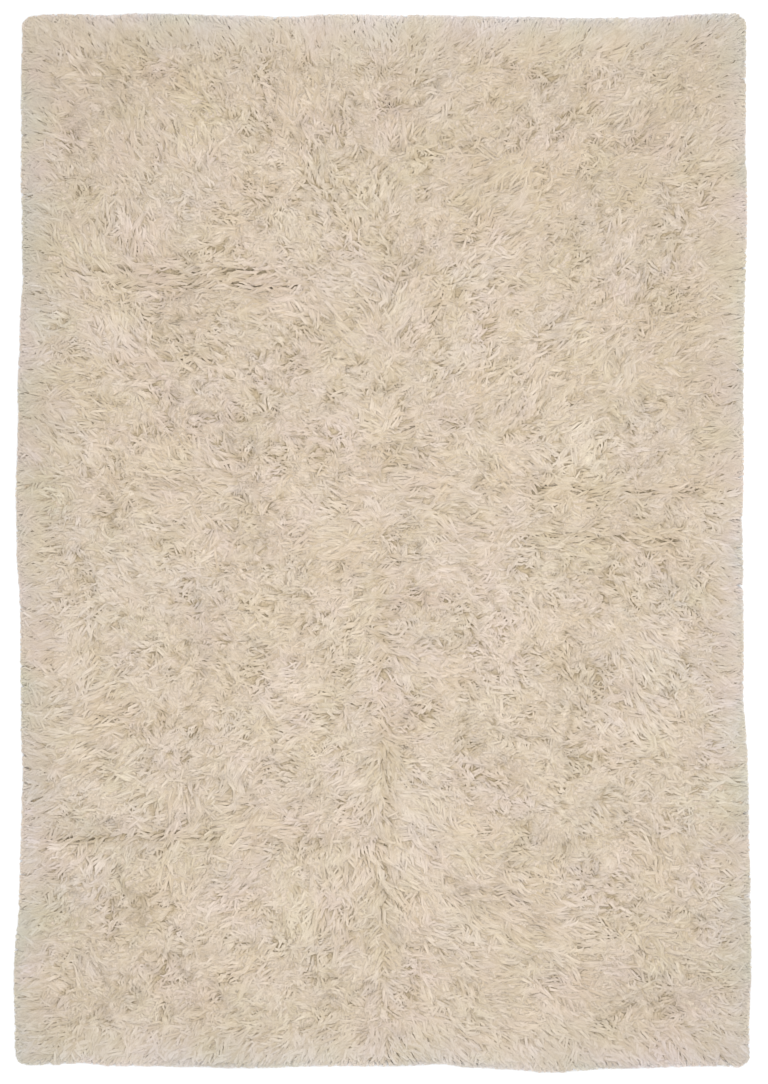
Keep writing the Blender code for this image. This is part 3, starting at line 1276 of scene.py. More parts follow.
class Nodes:
    """The shader nodes of one new material, with short ways to add and link them.

    Attributes:
        material: The material.
        tree: Its node tree.
        shader: Its shader node.
    """

    def __init__(self, name: str) -> None:
        """Make the material.

        Args:
            name: The material's name.
        """
        self.material = bpy.data.materials.new(name)
        self.material.use_nodes = True
        self.tree = self.material.node_tree
        self.shader = self.tree.nodes["Principled BSDF"]

    def add(
        self, kind: str, sockets: dict[str, object] | None = None, **settings: str
    ) -> bpy.types.Node:
        """Add a node.

        Args:
            kind: Its type.
            sockets: Values for its sockets, by their names.
            **settings: Values for its own properties.

        Returns:
            The node.
        """
        node = self.tree.nodes.new(kind)
        for name, value in settings.items():
            setattr(node, name, value)
        for name, value in (sockets or {}).items():
            node.inputs[name].default_value = value
        return node

    def link(self, source: Socket, target: Socket) -> None:
        """Link two sockets."""
        self.tree.links.new(source, target)

    def surface(self, colour: Socket, sockets: dict[str, float]) -> None:
        """Give the shader its colour and its other values.

        Args:
            colour: Its colour.
            sockets: Values for its sockets, by their names.
        """
        self.link(colour, self.shader.inputs["Base Color"])
        for name, value in sockets.items():
            self.shader.inputs[name].default_value = value

    def attribute(self, name: str) -> Socket:
        """Return a mesh attribute's value."""
        return self.add("ShaderNodeAttribute", attribute_name=name).outputs["Fac"]

    def place(self) -> Socket:
        """Return the object coordinates."""
        return self.add("ShaderNodeTexCoord").outputs["Object"]

    def moved(self, coordinates: Socket, sockets: dict[str, Place]) -> Socket:
        """Move or scale coordinates.

        Args:
            coordinates: The coordinates.
            sockets: The mapping node's values, by the names of its sockets.

        Returns:
            The new coordinates.
        """
        node = self.add("ShaderNodeMapping", sockets)
        self.link(coordinates, node.inputs["Vector"])
        return node.outputs["Vector"]

    def noise(self, coordinates: Socket, scale: float, detail: float) -> Socket:
        """Make a soft noise.

        Args:
            coordinates: Where it is read.
            scale: How fine it is.
            detail: How many finer noises it has in it.

        Returns:
            Values of 0 to 1.
        """
        node = self.add("ShaderNodeTexNoise", {"Scale": scale, "Detail": detail})
        self.link(coordinates, node.inputs["Vector"])
        return node.outputs["Fac"]

    def tinted(self, colour: Socket, tint: Socket) -> Socket:
        """Multiply a colour by a tint.

        Args:
            colour: The colour.
            tint: The tint.

        Returns:
            The tinted colour.
        """
        node = self.add("ShaderNodeVectorMath", operation="MULTIPLY")
        self.link(colour, node.inputs[0])
        self.link(tint, node.inputs[1])
        return node.outputs[0]

    def shaded(self, colour: Socket, shade: Socket) -> Socket:
        """Make a colour lighter or darker.

        Args:
            colour: The colour.
            shade: How many times as light it becomes.

        Returns:
            The shaded colour.
        """
        node = self.add("ShaderNodeVectorMath", operation="SCALE")
        self.link(colour, node.inputs[0])
        self.link(shade, node.inputs["Scale"])
        return node.outputs[0]

    def combined(self, operation: str, one: Socket, two: Socket) -> Socket:
        """Combine two values.

        Args:
            operation: How, by the name of the node's operation.
            one: The one value.
            two: The other value.

        Returns:
            The result, with 1 added where the operation adds a third value.
        """
        node = self.add("ShaderNodeMath", operation=operation)
        self.link(one, node.inputs[0])
        self.link(two, node.inputs[1])
        node.inputs[2].default_value = 1.0
        return node.outputs[0]

    def spread(self, value: Socket, source: Span, target: Span = (0.0, 1.0)) -> Socket:
        """Move a value from one range to another.

        Args:
            value: The value.
            source: The range it has.
            target: The range it gets, past which it doesn't go.

        Returns:
            The moved value.
        """
        names = ("From Min", "From Max", "To Min", "To Max")
        node = self.add("ShaderNodeMapRange", dict(zip(names, (*source, *target))))
        self.link(value, node.inputs["Value"])
        return node.outputs["Result"]

    def blend(self, share: Socket, low: Colour | Socket, high: Colour | Socket) -> Socket:
        """Blend two colours.

        Args:
            share: The share of the second.
            low: The first colour.
            high: The second colour.

        Returns:
            The blended colour.
        """
        node = self.add("ShaderNodeMix", data_type="RGBA")
        self.link(share, node.inputs["Factor"])
        for socket, value in ((node.inputs[6], low), (node.inputs[7], high)):
            if isinstance(value, tuple):
                socket.default_value = (*value, 1.0)
            else:
                self.link(value, socket)
        return node.outputs[2]

    def bump(self, height: Socket, strength: float, distance: float) -> None:
        """Give the shader a bump.

        Args:
            height: Its height, from 0 to 1.
            strength: How strong it is, from 0 to 1.
            distance: How high 1 is, in metres.
        """
        node = self.add("ShaderNodeBump", {"Strength": strength, "Distance": distance})
        self.link(height, node.inputs["Height"])
        self.link(node.outputs["Normal"], self.shader.inputs["Normal"])


@dataclass(frozen=True)
class Mottle:
    """Soft patches that tint the wool in two ways.

    Attributes:
        scale: How fine the patches are.
        detail: How many finer noises they have in them.
        edges: Values of the noise where the first tint ends and where the second is full.
        low: The first tint.
        high: The second tint.
    """

    scale: float
    detail: float
    edges: Span
    low: Colour
    high: Colour

    def tint(self, nodes: Nodes, coordinates: Socket) -> Socket:
        """Return the tint over coordinates."""
        share = nodes.spread(nodes.noise(coordinates, self.scale, self.detail), self.edges)
        return nodes.blend(share, self.low, self.high)


@dataclass(frozen=True)
class WoolFinish:
    """Cream wool: painted darker at the root as painted shade, each lock a little unlike the next, in soft patches.

    Attributes:
        root: Colour at a lock's root, darker as painted shade where other locks cover it.
        deep: Colour of the darkest locks, dark by their own tone and by painted shade.
        fair: Colour of the fairest, fair by their own tone and by painted light.
        warmth: Patches of yellower and of cooler wool.
        blush: Patches of greener and of rosier wool.
        faded: Tints of the paler, cooler painted light near the rim, in patches.
        elsewhere: How far the later patches are moved, so that they don't follow the first.
        dark_root: Shares of a lock's length between which its root's painted shade gives way.
        bleach_along: Shares of its length between which the painted rim light grows to its full strength.
        bleach_least: Share of that strength at the root.
        fibre_scale: How fine the fibres are, round a lock and along it.
        fibre_detail: How many finer noises they have in them.
        fibre_edges: Values of their noise where the most shaded and the most lit streaks lie.
        thin: Tint of the darkest streaks, warmer as painted shade between the fibres.
        thick: Tint of the lightest streaks, cooler as painted light on the fibres.
        streaks: How much darker and how much lighter than the rest they are, as painted shade between the fibres and
            painted highlight on them.
        calm_streaks: Share of the streaks that is left where the wool is evenly shaded.
        fray_light: How many times as light the tips at the rim line are painted, as painted light through the thin
            tips.
        bump: Strength of the fibres' bump, and its height in metres.
        surface: How the wool shines.
    """

    # Painted shade at each lock's root.
    root: Colour = (0.465, 0.371, 0.253)
    deep: Colour = (0.525, 0.426, 0.313)
    fair: Colour = (0.632, 0.538, 0.440)
    warmth: Mottle = Mottle(11.0, 5.0, (0.36, 0.64), (1.0, 1.0, 0.955), (1.0, 1.0, 1.045))
    blush: Mottle = Mottle(10.0, 5.0, (0.36, 0.64), (0.991, 1.006, 1.0), (1.010, 0.994, 1.0))
    # Painted light: paler, cooler tints near the rim.
    faded: Mottle = Mottle(4.0, 3.0, (0.45, 0.56), (1.046, 1.122, 1.335), (0.941, 1.090, 1.245))
    elsewhere: Place = (7.0, 3.0, 0.0)
    dark_root: Span = (0.02, 0.42)
    bleach_along: Span = (0.0, 0.45)
    bleach_least: float = 0.30
    fibre_scale: Place = (18.0, 1.8, 1.0)
    fibre_detail: float = 3.0
    fibre_edges: Span = (0.34, 0.60)
    # Tints of the painted shade and light in the streaks.
    thin: Colour = (1.007, 0.994, 0.996)
    thick: Colour = (0.993, 1.006, 1.004)
    streaks: Span = (-0.14, 0.13)
    calm_streaks: float = 0.35
    # Painted light on the tips at the rim line.
    fray_light: float = 1.32
    bump: Span = (0.8, 0.0015)
    surface: tuple[tuple[str, float], ...] = (
        ("Roughness", 0.9),
        ("Specular IOR Level", 0.2),
        ("Sheen Weight", 0.15),
        ("Sheen Roughness", 0.5),
    )

    def material(self) -> bpy.types.Material:
        """Make the locks' material.

        Returns:
            The material.
        """
        nodes = Nodes("cream_wool_locks")
        strand = nodes.add("ShaderNodeUVMap", uv_map=STRAND_MAP).outputs["UV"]
        fibres = nodes.moved(strand, {"Scale": self.fibre_scale})
        fibres = nodes.noise(fibres, 1.0, self.fibre_detail)
        colour = self._streaked(nodes, self._dyed(nodes), fibres)
        nodes.surface(colour, dict(self.surface))
        nodes.bump(fibres, *self.bump)
        return nodes.material

    def _dyed(self, nodes: Nodes) -> Socket:
        """Colour the locks by their tone, their length and their place on the rug, with painted shade at their roots
        and painted light near the rim.

        Args:
            nodes: The material's nodes.

        Returns:
            The colour.
        """
        place = nodes.place()
        elsewhere = nodes.moved(place, {"Location": self.elsewhere})
        # The tone holds each lock's random tone and the pile's painted light and shade.
        colour = nodes.blend(nodes.attribute("tone"), self.deep, self.fair)
        colour = nodes.tinted(colour, self.warmth.tint(nodes, place))
        colour = nodes.tinted(colour, self.blush.tint(nodes, elsewhere))
        reach = nodes.attribute("reach")
        # Painted shade: each lock darkens towards its root.
        colour = nodes.blend(nodes.spread(reach, self.dark_root), self.root, colour)
        # Painted light: paler, cooler wool near the rim, weaker at the root.
        outer = nodes.spread(reach, self.bleach_along, (self.bleach_least, 1.0))
        bleach = nodes.combined("MULTIPLY", nodes.attribute("bleach"), outer)
        faded = self.faded.tint(nodes, elsewhere)
        return nodes.tinted(colour, nodes.blend(bleach, WHITE, faded))

    def _streaked(self, nodes: Nodes, colour: Socket, fibres: Socket) -> Socket:
        """Streak a colour with painted shade and highlight along the fibres, and paint the tips at the rim line
        lighter.

        Args:
            nodes: The material's nodes.
            colour: The colour.
            fibres: The fibres' noise.

        Returns:
            The streaked colour.
        """
        # Painted shade in the darker streaks between fibres, painted highlight on the lighter ones.
        thick = nodes.spread(fibres, self.fibre_edges)
        colour = nodes.tinted(colour, nodes.blend(thick, self.thin, self.thick))
        even = nodes.spread(nodes.attribute("calm"), (0.0, 1.0), (1.0, self.calm_streaks))
        streak = nodes.spread(fibres, self.fibre_edges, self.streaks)
        streak = nodes.combined("MULTIPLY_ADD", streak, even)
        # Painted light on the tips at the rim line.
        pale = nodes.spread(nodes.attribute("fray"), (0.0, 1.0), (1.0, self.fray_light))
        return nodes.shaded(colour, nodes.combined("MULTIPLY", streak, pale))


@dataclass(frozen=True)
class BedFinish:
    """The matted wool between the locks, painted darker and yellower than their tips as painted shade, most of all in
    its pits.

    Attributes:
        pit: Colour in its deepest pits, darker as painted shade.
        high: Colour where it lies high, darker than the fairest locks as painted shade.
        blotches: Dark and light blotches of matted wool.
        bump: Strength of their bump, and its height in metres.
        roughness: How dull it is.
    """

    # Painted shade: the bed is darker than the locks, most of all in its pits.
    pit: Colour = (0.490, 0.393, 0.262)
    high: Colour = (0.585, 0.494, 0.398)
    blotches: Mottle = Mottle(190.0, 6.0, (0.35, 0.62), (0.80, 0.79, 0.77), (1.08, 1.08, 1.08))
    bump: Span = (0.8, 0.004)
    roughness: float = 0.95

    def material(self) -> bpy.types.Material:
        """Make the bed's material.

        Returns:
            The material.
        """
        nodes = Nodes("matted_wool_bed")
        place = nodes.place()
        # Painted shade: the bed darkens into its pits.
        colour = nodes.blend(nodes.attribute("pit"), self.high, self.pit)
        colour = nodes.tinted(colour, self.blotches.tint(nodes, place))
        nodes.surface(colour, {"Roughness": self.roughness})
        nodes.bump(nodes.noise(place, self.blotches.scale, self.blotches.detail), *self.bump)
        return nodes.material


@dataclass(frozen=True)
class GroundFinish:
    """The woven wool ground: plain weave, warp over weft.

    Attributes:
        yarn: Colour of the yarn.
        gap: Colour between the threads.
        threads: How close they lie, in radians of their wave by the metre.
        uneven: How far their waves are distorted.
        bump: Strength of the weave's bump, and its height in metres.
        roughness: How dull it is.
    """

    yarn: Colour = (0.60, 0.52, 0.40)
    gap: Colour = (0.36, 0.30, 0.22)
    threads: float = 220.0
    uneven: float = 0.6
    bump: Span = (0.6, 0.0008)
    roughness: float = 0.9

    def material(self) -> bpy.types.Material:
        """Make the ground's material.

        Returns:
            The material.
        """
        nodes = Nodes("woven_ground")
        place = nodes.place()
        sockets = {"Scale": self.threads / math.tau, "Distortion": self.uneven}
        waves = []
        for direction in ("X", "Y"):
            wave = nodes.add("ShaderNodeTexWave", sockets, bands_direction=direction)
            nodes.link(place, wave.inputs["Vector"])
            waves.append(wave.outputs["Fac"])
        weave = nodes.combined("MULTIPLY", *waves)
        nodes.surface(nodes.blend(weave, self.gap, self.yarn), {"Roughness": self.roughness})
        nodes.bump(weave, *self.bump)
        return nodes.material


# ----------------------------------------------------------
# The rug's pieces
# ----------------------------------------------------------


def show(mesh: bpy.types.Mesh, material: bpy.types.Material) -> bpy.types.Object:
    """Put a mesh into the scene as a piece that rides on the rug.

    Args:
        mesh: Its mesh, whose name the piece takes.
        material: Its finish.

    Returns:
        The piece.
    """
    piece = bpy.data.objects.new(mesh.name, mesh)
    bpy.context.scene.collection.objects.link(piece)
    mesh.materials.append(material)
    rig.ride(piece, BODY)
    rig.slot(piece, SLOT)
    LOG.info("%s: %d faces", piece.name, len(mesh.polygons))
    return piece


@dataclass
class Slab:
    """A closed slab over the rug's plan, with a shaped top, a wall and a flat underside.

    Attributes:
        form: The pile's form.
        setback: How far its wall lies inside the rim line, in metres.
        columns: Faces of its top from left to right.
        rows: Faces of its top from end to end.
        undercut: How much farther in its underside ends, in metres.
        thinnest: Its least thickness, in metres.
        sharp: Angle from which its edges are shaded sharp, in degrees.
    """

    form: PileForm
    setback: float
    columns: int
    rows: int
    undercut: float = 0.0
    thinnest: float = 0.001
    sharp: float = 60.0

    def mesh(self, name: str, top: Callable[[Array, Array], Array], low: float) -> bpy.types.Mesh:
        """Make the slab.

        Args:
            name: The mesh's name.
            top: Height of the top at places.
            low: Height of the underside.

        Returns:
            The closed mesh.
        """
        slab = bmesh.new()
        bmesh.ops.create_grid(slab, x_segments=self.columns, y_segments=self.rows, size=1.0)
        rim = [edge for edge in slab.edges if edge.is_boundary]
        made = bmesh.ops.extrude_edge_only(slab, edges=rim)["geom"]
        foot = {part for part in made if isinstance(part, bmesh.types.BMVert)}
        open_edges = [edge for edge in slab.edges if edge.is_boundary]
        bmesh.ops.contextual_create(slab, geom=open_edges)
        unit = np.array([vertex.co[:2] for vertex in slab.verts])
        x, y = self._plan(unit[:, 0], unit[:, 1])
        z = np.maximum(top(x, y), low + self.thinnest)
        inward = 1 - self.undercut / self.form.rim.half
        for vertex, across, along, height in zip(slab.verts, x, y, z):
            if vertex in foot:
                vertex.co = (across * inward[0], along * inward[1], low)
            else:
                vertex.co = (across, along, height)
        bmesh.ops.recalc_face_normals(slab, faces=slab.faces)
        mesh = bpy.data.meshes.new(name)
        slab.to_mesh(mesh)
        slab.free()
        mesh.shade_smooth()
        mesh.set_sharp_from_angle(angle=math.radians(self.sharp))
        return mesh

    def _plan(self, u: Array, v: Array) -> tuple[Array, Array]:
        """Spread a square over the rug's plan, set back from the rim line.

        Args:
            u: Places across the square, from -1 to 1.
            v: Places along it, from -1 to 1.

        Returns:
            The places on the rug, along X and along Y.
        """
        rim = self.form.rim
        x, y = u * rim.half[0], v * rim.half[1]
        left = np.interp(y, *rim.sides[0, -1])
        right = np.interp(y, *rim.sides[0, 1])
        near = np.interp(x, *rim.sides[1, -1])
        far = np.interp(x, *rim.sides[1, 1])
        across = mix(self.setback - left, right - self.setback, (u + 1) / 2)
        along = mix(self.setback - near, far - self.setback, (v + 1) / 2)
        return across, along


@dataclass
class GroundCloth:
    """The woven cloth that the pile grows from.

    Attributes:
        form: The pile's form.
        setback: How far its selvedge lies inside the rim line, in metres.
        thick: Thickness, in metres.
        columns: Faces from selvedge to selvedge.
        rows: Faces from end to end.
    """

    form: PileForm
    setback: float = 0.045
    thick: float = 0.0025
    columns: int = 24
    rows: int = 34

    def build(self) -> bpy.types.Object:
        """Build the cloth, flat on the floor.

        Returns:
            The piece.
        """
        slab = Slab(self.form, self.setback, self.columns, self.rows)
        mesh = slab.mesh("ground_cloth", lambda x, y: np.full_like(x, self.thick), 0.0)
        return show(mesh, GroundFinish().material())

    def flat(self) -> tuple[float, float]:
        """Return its flat size."""
        width, length = 2 * (self.form.rim.half - self.setback)
        return float(width), float(length)


@dataclass
class PileBed:
    """The matted lower pile, which the locks rise from.

    Attributes:
        form: The pile's form.
        ground: The cloth that it lies on.
        clearance: How far over that cloth its underside lies, in metres.
        setback: How far its wall lies inside the rim line, in metres.
        undercut: How much farther in its underside ends, in metres.
        columns: Faces of its top from left to right.
        rows: Faces of its top from end to end.
        sunk: How far it lies under the pile's top, in metres.
        pit: Depth of its deepest pits, in metres.
        cleft: Depth of its clefts at old folds, in metres.
        under_fringe: How much lower it lies under the fringe, in metres.
        fringe_reach: Width of the band that the fringe lies over, in metres.
        fringe_start: How many such widths inside the rim line it starts to lie lower.
        loose: Share of a pit's depth that is left where the pile is combed flat.
        loose_start: How many such widths inside it the pits start to be full ones.
        wall: Width of the band at its wall where it has no pits, in metres.
    """

    form: PileForm
    ground: GroundCloth
    clearance: float = 0.0004
    setback: float = 0.016
    undercut: float = 0.014
    columns: int = 116
    rows: int = 166
    sunk: float = 0.0021
    pit: float = 0.0045
    cleft: float = 0.0090
    under_fringe: float = 0.0025
    fringe_reach: float = 0.05
    fringe_start: float = 1.6
    loose: float = 0.50
    loose_start: float = 1.4
    wall: float = 0.030

    def build(self) -> bpy.types.Object:
        """Build the bed over the ground cloth.

        Returns:
            The piece.
        """
        slab = Slab(self.form, self.setback, self.columns, self.rows, self.undercut)
        mesh = slab.mesh("pile_bed", self.top, self.ground.thick + self.clearance)
        x, y, _ = np.array([vertex.co for vertex in mesh.vertices]).T
        # How deep the pits are, which the painted shade follows.
        record(mesh, "pit", np.clip(self.depth(x, y) / self.pit, 0, 1))
        piece = show(mesh, BedFinish().material())
        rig.replaces(piece, NODE)
        return piece

    def top(self, x: Array, y: Array) -> Array:
        """Return the height of the bed's top."""
        return self.form.top(x, y) - self.sunk - self.depth(x, y)

    def depth(self, x: Array, y: Array) -> Array:
        """Tell how deep its pits between clumps and its clefts at old folds are.

        Args:
            x: Places along X.
            y: Places along Y.

        Returns:
            Depths, in metres.
        """
        inside = self.form.rim.distance(x, y)
        near_rim = ease(self.loose_start - inside / self.fringe_reach)
        loose = np.maximum(self.form.curl(x, y), near_rim)
        pits = self.pit * self.form.sag(x, y) * mix(self.loose, 1.0, loose)
        clefts = self.cleft * self.form.cleft(x, y)
        fringe = self.under_fringe * ease(self.fringe_start - inside / self.fringe_reach)
        return (pits + clefts + fringe) * ease(inside / self.wall)


@dataclass(frozen=True)
class LockKind:
    """One kind of lock.

    Attributes:
        name: What it is called in the names of its pieces.
        pitch: Distance between such locks where there are no others, in metres.
        length: Length, in metres.
        width: Width, in metres.
        stray: How far its clumps turn away from the comb, in radians.
        bend: How far it turns from root to tip, in radians.
        wave: How far it waves to either side, in radians.
        gather: Share of the distance to its clump's middle line that it loses.
        profile: Where its stations lie, as shares of its length, and its width at each, as a
            share of its greatest.
    """

    name: str
    pitch: float
    length: float
    width: float
    stray: float
    bend: float
    wave: float
    gather: float
    profile: Profile


# Places along a lock and its widths there, as shares of its length and its greatest width.
SHORT = ((0.0, 0.80), (0.60, 1.0))
LONG = ((0.0, 0.80), (0.38, 1.0), (0.78, 0.80))
STRAIGHT = ((0.0, 0.85), (0.50, 1.0), (0.95, 0.85))
CURLED = LockKind(
    name="curled_locks",
    pitch=0.0066,
    length=0.025,
    width=0.0062,
    stray=0.65,
    bend=0.95,
    wave=0.45,
    gather=0.45,
    profile=SHORT,
)
COMBED = LockKind(
    name="combed_locks",
    pitch=0.0088,
    length=0.043,
    width=0.0070,
    stray=0.22,
    bend=0.60,
    wave=0.45,
    gather=0.45,
    profile=LONG,
)


@dataclass(frozen=True)
class Unevenness:
    """How unlike each other the field's clumps and locks are.

    Attributes:
        grid: How far a lock's place may move either way, as a share of its pitch.
        clump_grid: How far a clump's middle may, as a share of its pitch.
        length: Shortest and longest, as shares of the usual length, for clumps and for locks.
        clump_wave: Least and most wavy clumps, as shares of their kind's wave.
        wave: Least and most wavy locks, as shares of their clump's wave.
        clump_lift: Lowest and highest clumps, in metres over the pile's top.
        lift: Lowest and highest locks, in metres over their clump.
        clump_tone: Spread of the clumps' tones.
        tone: Spread of the locks' tones in a clump.
        heading: Spread of the locks' headings in a clump, in radians.
        stray: Share of their kind's stray that this spread has besides.
        bend: Spread of the locks' bends in a clump, in radians.
        phase: Spread of their waves' phases, in radians.
        width: Narrowest and widest locks, as shares of their kind's width.
        dark: Share of the locks that are painted dark, as painted shadow dashes.
        darkness: Least and most dark of these, in tones.
    """

    grid: float = 0.42
    clump_grid: float = 0.45
    length: Span = (0.85, 1.15)
    clump_wave: Span = (0.6, 1.2)
    wave: Span = (0.8, 1.2)
    clump_lift: Span = (-0.0006, 0.0012)
    lift: Span = (-0.0006, 0.0006)
    clump_tone: float = 0.13
    tone: float = 0.05
    heading: float = 0.05
    stray: float = 0.2
    bend: float = 0.12
    phase: float = 0.35
    width: Span = (0.85, 1.2)
    # Painted shadow: some locks are painted dark, as dashes of shadow under the locks' edges.
    dark: float = 0.08
    darkness: Span = (0.30, 1.0)


@dataclass
class PileField:
    """The locks over the whole rug, curled or combed, in clumps.

    Attributes:
        form: The pile's form.
        shade: Where its wool is painted lighter or darker, paler at the rim, or evenly shaded.
        uneven: How unlike each other the clumps and locks are.
        seed: Seed of that unevenness.
        columns: Panels from left to right.
        rows: Panels from end to end.
        clump_pitch: Distance between the clumps that their tips gather in, in metres.
        rim_gap: Width of the band at the rim line that the fringe alone covers, in metres.
        root_gap: How far inside the solid's box every root stays, in metres.
        before: How far before its place a lock is rooted, as a share of its length.
        border: Distance of a clump's border from its middle, in clump pitches.
        border_drop: How much lower locks lie at the border, in metres.
        border_dark: How much darker they are painted, in tones, as painted shade between clumps.
        tone: Mean tone of the locks.
        light: How much the pile's painted light and shade change it.
        dark_thin: How much narrower the locks painted as shadow dashes are, as a share.
        calm_spread: Share of the spread of tones and heights that evenly shaded wool lacks.
        calm_dark: Share of the depth of its painted shadow dashes that it lacks.
        calm_border: Share of its borders' painted shade that it lacks.
    """

    form: PileForm
    shade: PileShade
    uneven: Unevenness = Unevenness()
    seed: int = 21
    columns: int = 2
    rows: int = 4
    clump_pitch: float = 0.021
    rim_gap: float = 0.022
    root_gap: float = 0.020
    before: float = 0.45
    border: float = 0.62
    border_drop: float = 0.0018
    # Painted shade between clumps.
    border_dark: float = 0.50
    tone: float = 0.76
    light: float = 0.27
    dark_thin: float = 0.35
    calm_spread: float = 0.6
    calm_dark: float = 0.85
    calm_border: float = 0.8

    def build(self, finish: bpy.types.Material) -> list[bpy.types.Object]:
        """Build the field as a piece for each kind and each panel.

        Args:
            finish: The locks' material.

        Returns:
            The pieces.
        """
        chance = np.random.default_rng(self.seed)
        pieces = []
        for kind in (CURLED, COMBED):
            mesher = LockMesher(self.form, self.shade, kind.profile)
            locks = mesher.trimmed(self.locks(kind, chance))
            share = locks.root / self.form.rim.half / 2 + 0.5
            column = np.clip(share[:, 0] * self.columns, 0, self.columns - 1).astype(int)
            row = np.clip(share[:, 1] * self.rows, 0, self.rows - 1).astype(int)
            for i in range(self.columns):
                for j in range(self.rows):
                    panel = locks.chosen((column == i) & (row == j))
                    pieces.append(show(mesher.mesh(panel, f"{kind.name}_{i + 1}_{j + 1}"), finish))
        return pieces

    def _places(self, kind: LockKind, chance: np.random.Generator) -> tuple[Array, Array]:
        """Choose where the locks of one kind lie.

        Args:
            kind: Their kind.
            chance: Source of their unevenness.

        Returns:
            The places of their middles, along X and along Y.
        """
        x, y = scattered(self.form.rim.half, kind.pitch, self.uneven.grid, chance)
        curly = chance.uniform(0, 1, x.size) < self.form.curl(x, y)
        kept = (self.form.rim.distance(x, y) > self.rim_gap) & (curly == (kind is CURLED))
        x, y = x[kept], y[kept]
        for line in FOLD_LINES:
            x, y = line.opened(x, y)
        return x, y

    def locks(self, kind: LockKind, chance: np.random.Generator) -> Locks:
        """Return the field's locks of one kind, each in the clump whose middle is nearest.

        Args:
            kind: Their kind.
            chance: Source of their unevenness.

        Returns:
            The locks.
        """
        uneven = self.uneven
        x, y = self._places(kind, chance)
        around = self.form.rim.half + self.clump_pitch
        middle_x, middle_y = scattered(around, self.clump_pitch, uneven.clump_grid, chance)
        clumps, count = middle_x.size, x.size
        heading = self.form.heading(middle_x, middle_y) + chance.normal(0, kind.stray, clumps)
        own, aside, far = Clumps(middle_x, middle_y, heading).own(x, y)
        length = kind.length * chance.uniform(*uneven.length, clumps)
        bend = chance.normal(0, kind.bend, clumps)
        wave = kind.wave * chance.uniform(*uneven.clump_wave, clumps)
        phase = chance.uniform(0, math.tau, clumps)
        lift = chance.uniform(*uneven.clump_lift, clumps)
        tone = chance.normal(0, uneven.clump_tone, clumps)
        turn = chance.normal(0, uneven.heading + uneven.stray * kind.stray, count)
        heading_each = heading[own] + turn
        length_each = length[own] * chance.uniform(*uneven.length, count)
        border = np.clip(far / (self.border * self.clump_pitch), 0, 1) ** 2
        calm = self.shade.calm(x, y)
        rest = 1 - self.calm_spread * calm
        # Painted shadow: some locks are darkened and made narrower, as dashes of shadow.
        dark = (chance.uniform(0, 1, count) < uneven.dark) * chance.uniform(*uneven.darkness, count)
        dark = dark * (1 - self.calm_dark * calm)
        own_shade = (chance.normal(0, uneven.tone, count) + tone[own]) * rest - dark
        # The pile's painted light and shade go into the tone.
        tone_each = self.tone + own_shade + self.light * self.shade.light(x, y)
        # Painted shade at the clumps' borders.
        shadow = self.border_dark * border * (1 - self.calm_border * calm)
        return Locks(
            root=self._roots(x, y, heading_each, length_each),
            heading=heading_each,
            length=length_each,
            width=kind.width * chance.uniform(*uneven.width, count) * (1 - self.dark_thin * dark),
            bend=bend[own] + chance.normal(0, uneven.bend, count),
            wave=wave[own] * chance.uniform(*uneven.wave, count),
            phase=phase[own] + chance.normal(0, uneven.phase, count),
            offset=aside,
            gather=np.full(count, kind.gather),
            lift=(lift[own] + chance.uniform(*uneven.lift, count) - self.border_drop * border) * rest,
            tone=np.clip(tone_each - shadow, 0, 1),
            level=np.ones(count),
        )

    def _roots(self, x: Array, y: Array, heading: Array, length: Array) -> Array:
        """Root the locks before their places, and inside the rim.

        Args:
            x: Places of their middles along X.
            y: Places of their middles along Y.
            heading: Their directions, as angles from +X.
            length: Their lengths, in metres.

        Returns:
            The roots' X and Y, as a last axis.
        """
        back = length * self.before
        root = np.stack([x - np.cos(heading) * back, y - np.sin(heading) * back], 1)
        edge = self.form.rim.half - self.root_gap
        return np.clip(root, -edge, edge)


@dataclass(frozen=True)
class RimSide:
    """One side of the rug.

    Attributes:
        name: What it is called in the names of its pieces.
        axis: Axis that it faces along, 0 for X and 1 for Y.
        sign: Which way it faces.
        gather: Share of the distance to its clump's middle that a lock's tip loses.
        light: How much lighter its locks are painted than others, as a part of their tone: painted light and shade for
            its side.
        uneven: How much their tones differ from one to the next.
    """

    name: str
    axis: int
    sign: int
    gather: float
    light: float
    uneven: float


RIM_SIDES = (
    # name, axis, sign, gather, light, uneven
    # The light column is painted light and shade for each side; the long sides are painted darkest.
    RimSide("left", 0, -1, 0.85, -0.85, 0.13),
    RimSide("right", 0, 1, 0.85, -0.45, 0.13),
    RimSide("near", 1, -1, 0.35, -0.33, 0.03),
    RimSide("far", 1, 1, 0.20, 0.03, 0.02),
)


@dataclass(frozen=True)
class FringeLayer:
    """One layer of the fringe.

    Attributes:
        inset: How far inside the rim line its locks are rooted, in metres.
        short: How far inside it they end, in metres.
        shake: How much that varies, in metres.
        level: Share of the pile's height that they ride at.
        gather: How strongly they gather in clumps, as a share of what their side's locks do.
        light: How much lighter they are painted than others, as a part of their tone, against the shade of the layers
            above.
        broad: How much broader they are than others.
    """

    inset: float
    short: float
    shake: float
    level: float = 1.0
    gather: float = 1.0
    light: float = 0.0
    broad: float = 1.0


FRINGE_LAYERS = (
    # inset, short, shake
    # The lower layers are painted lighter, against the shade of the layers above.
    FringeLayer(0.026, 0.0020, 0.0015, level=0.50, gather=0.1, light=0.90, broad=1.5),
    FringeLayer(0.030, 0.0008, 0.0018, level=0.74, gather=0.1, light=0.70, broad=1.3),
    FringeLayer(0.034, -0.0014, 0.0026, level=0.90, gather=0.16, light=0.40, broad=1.1),
    FringeLayer(0.048, 0.0010, 0.0060, light=0.15),
    FringeLayer(0.068, 0.0060, 0.0120),
    FringeLayer(0.085, 0.0150, 0.0160),
)


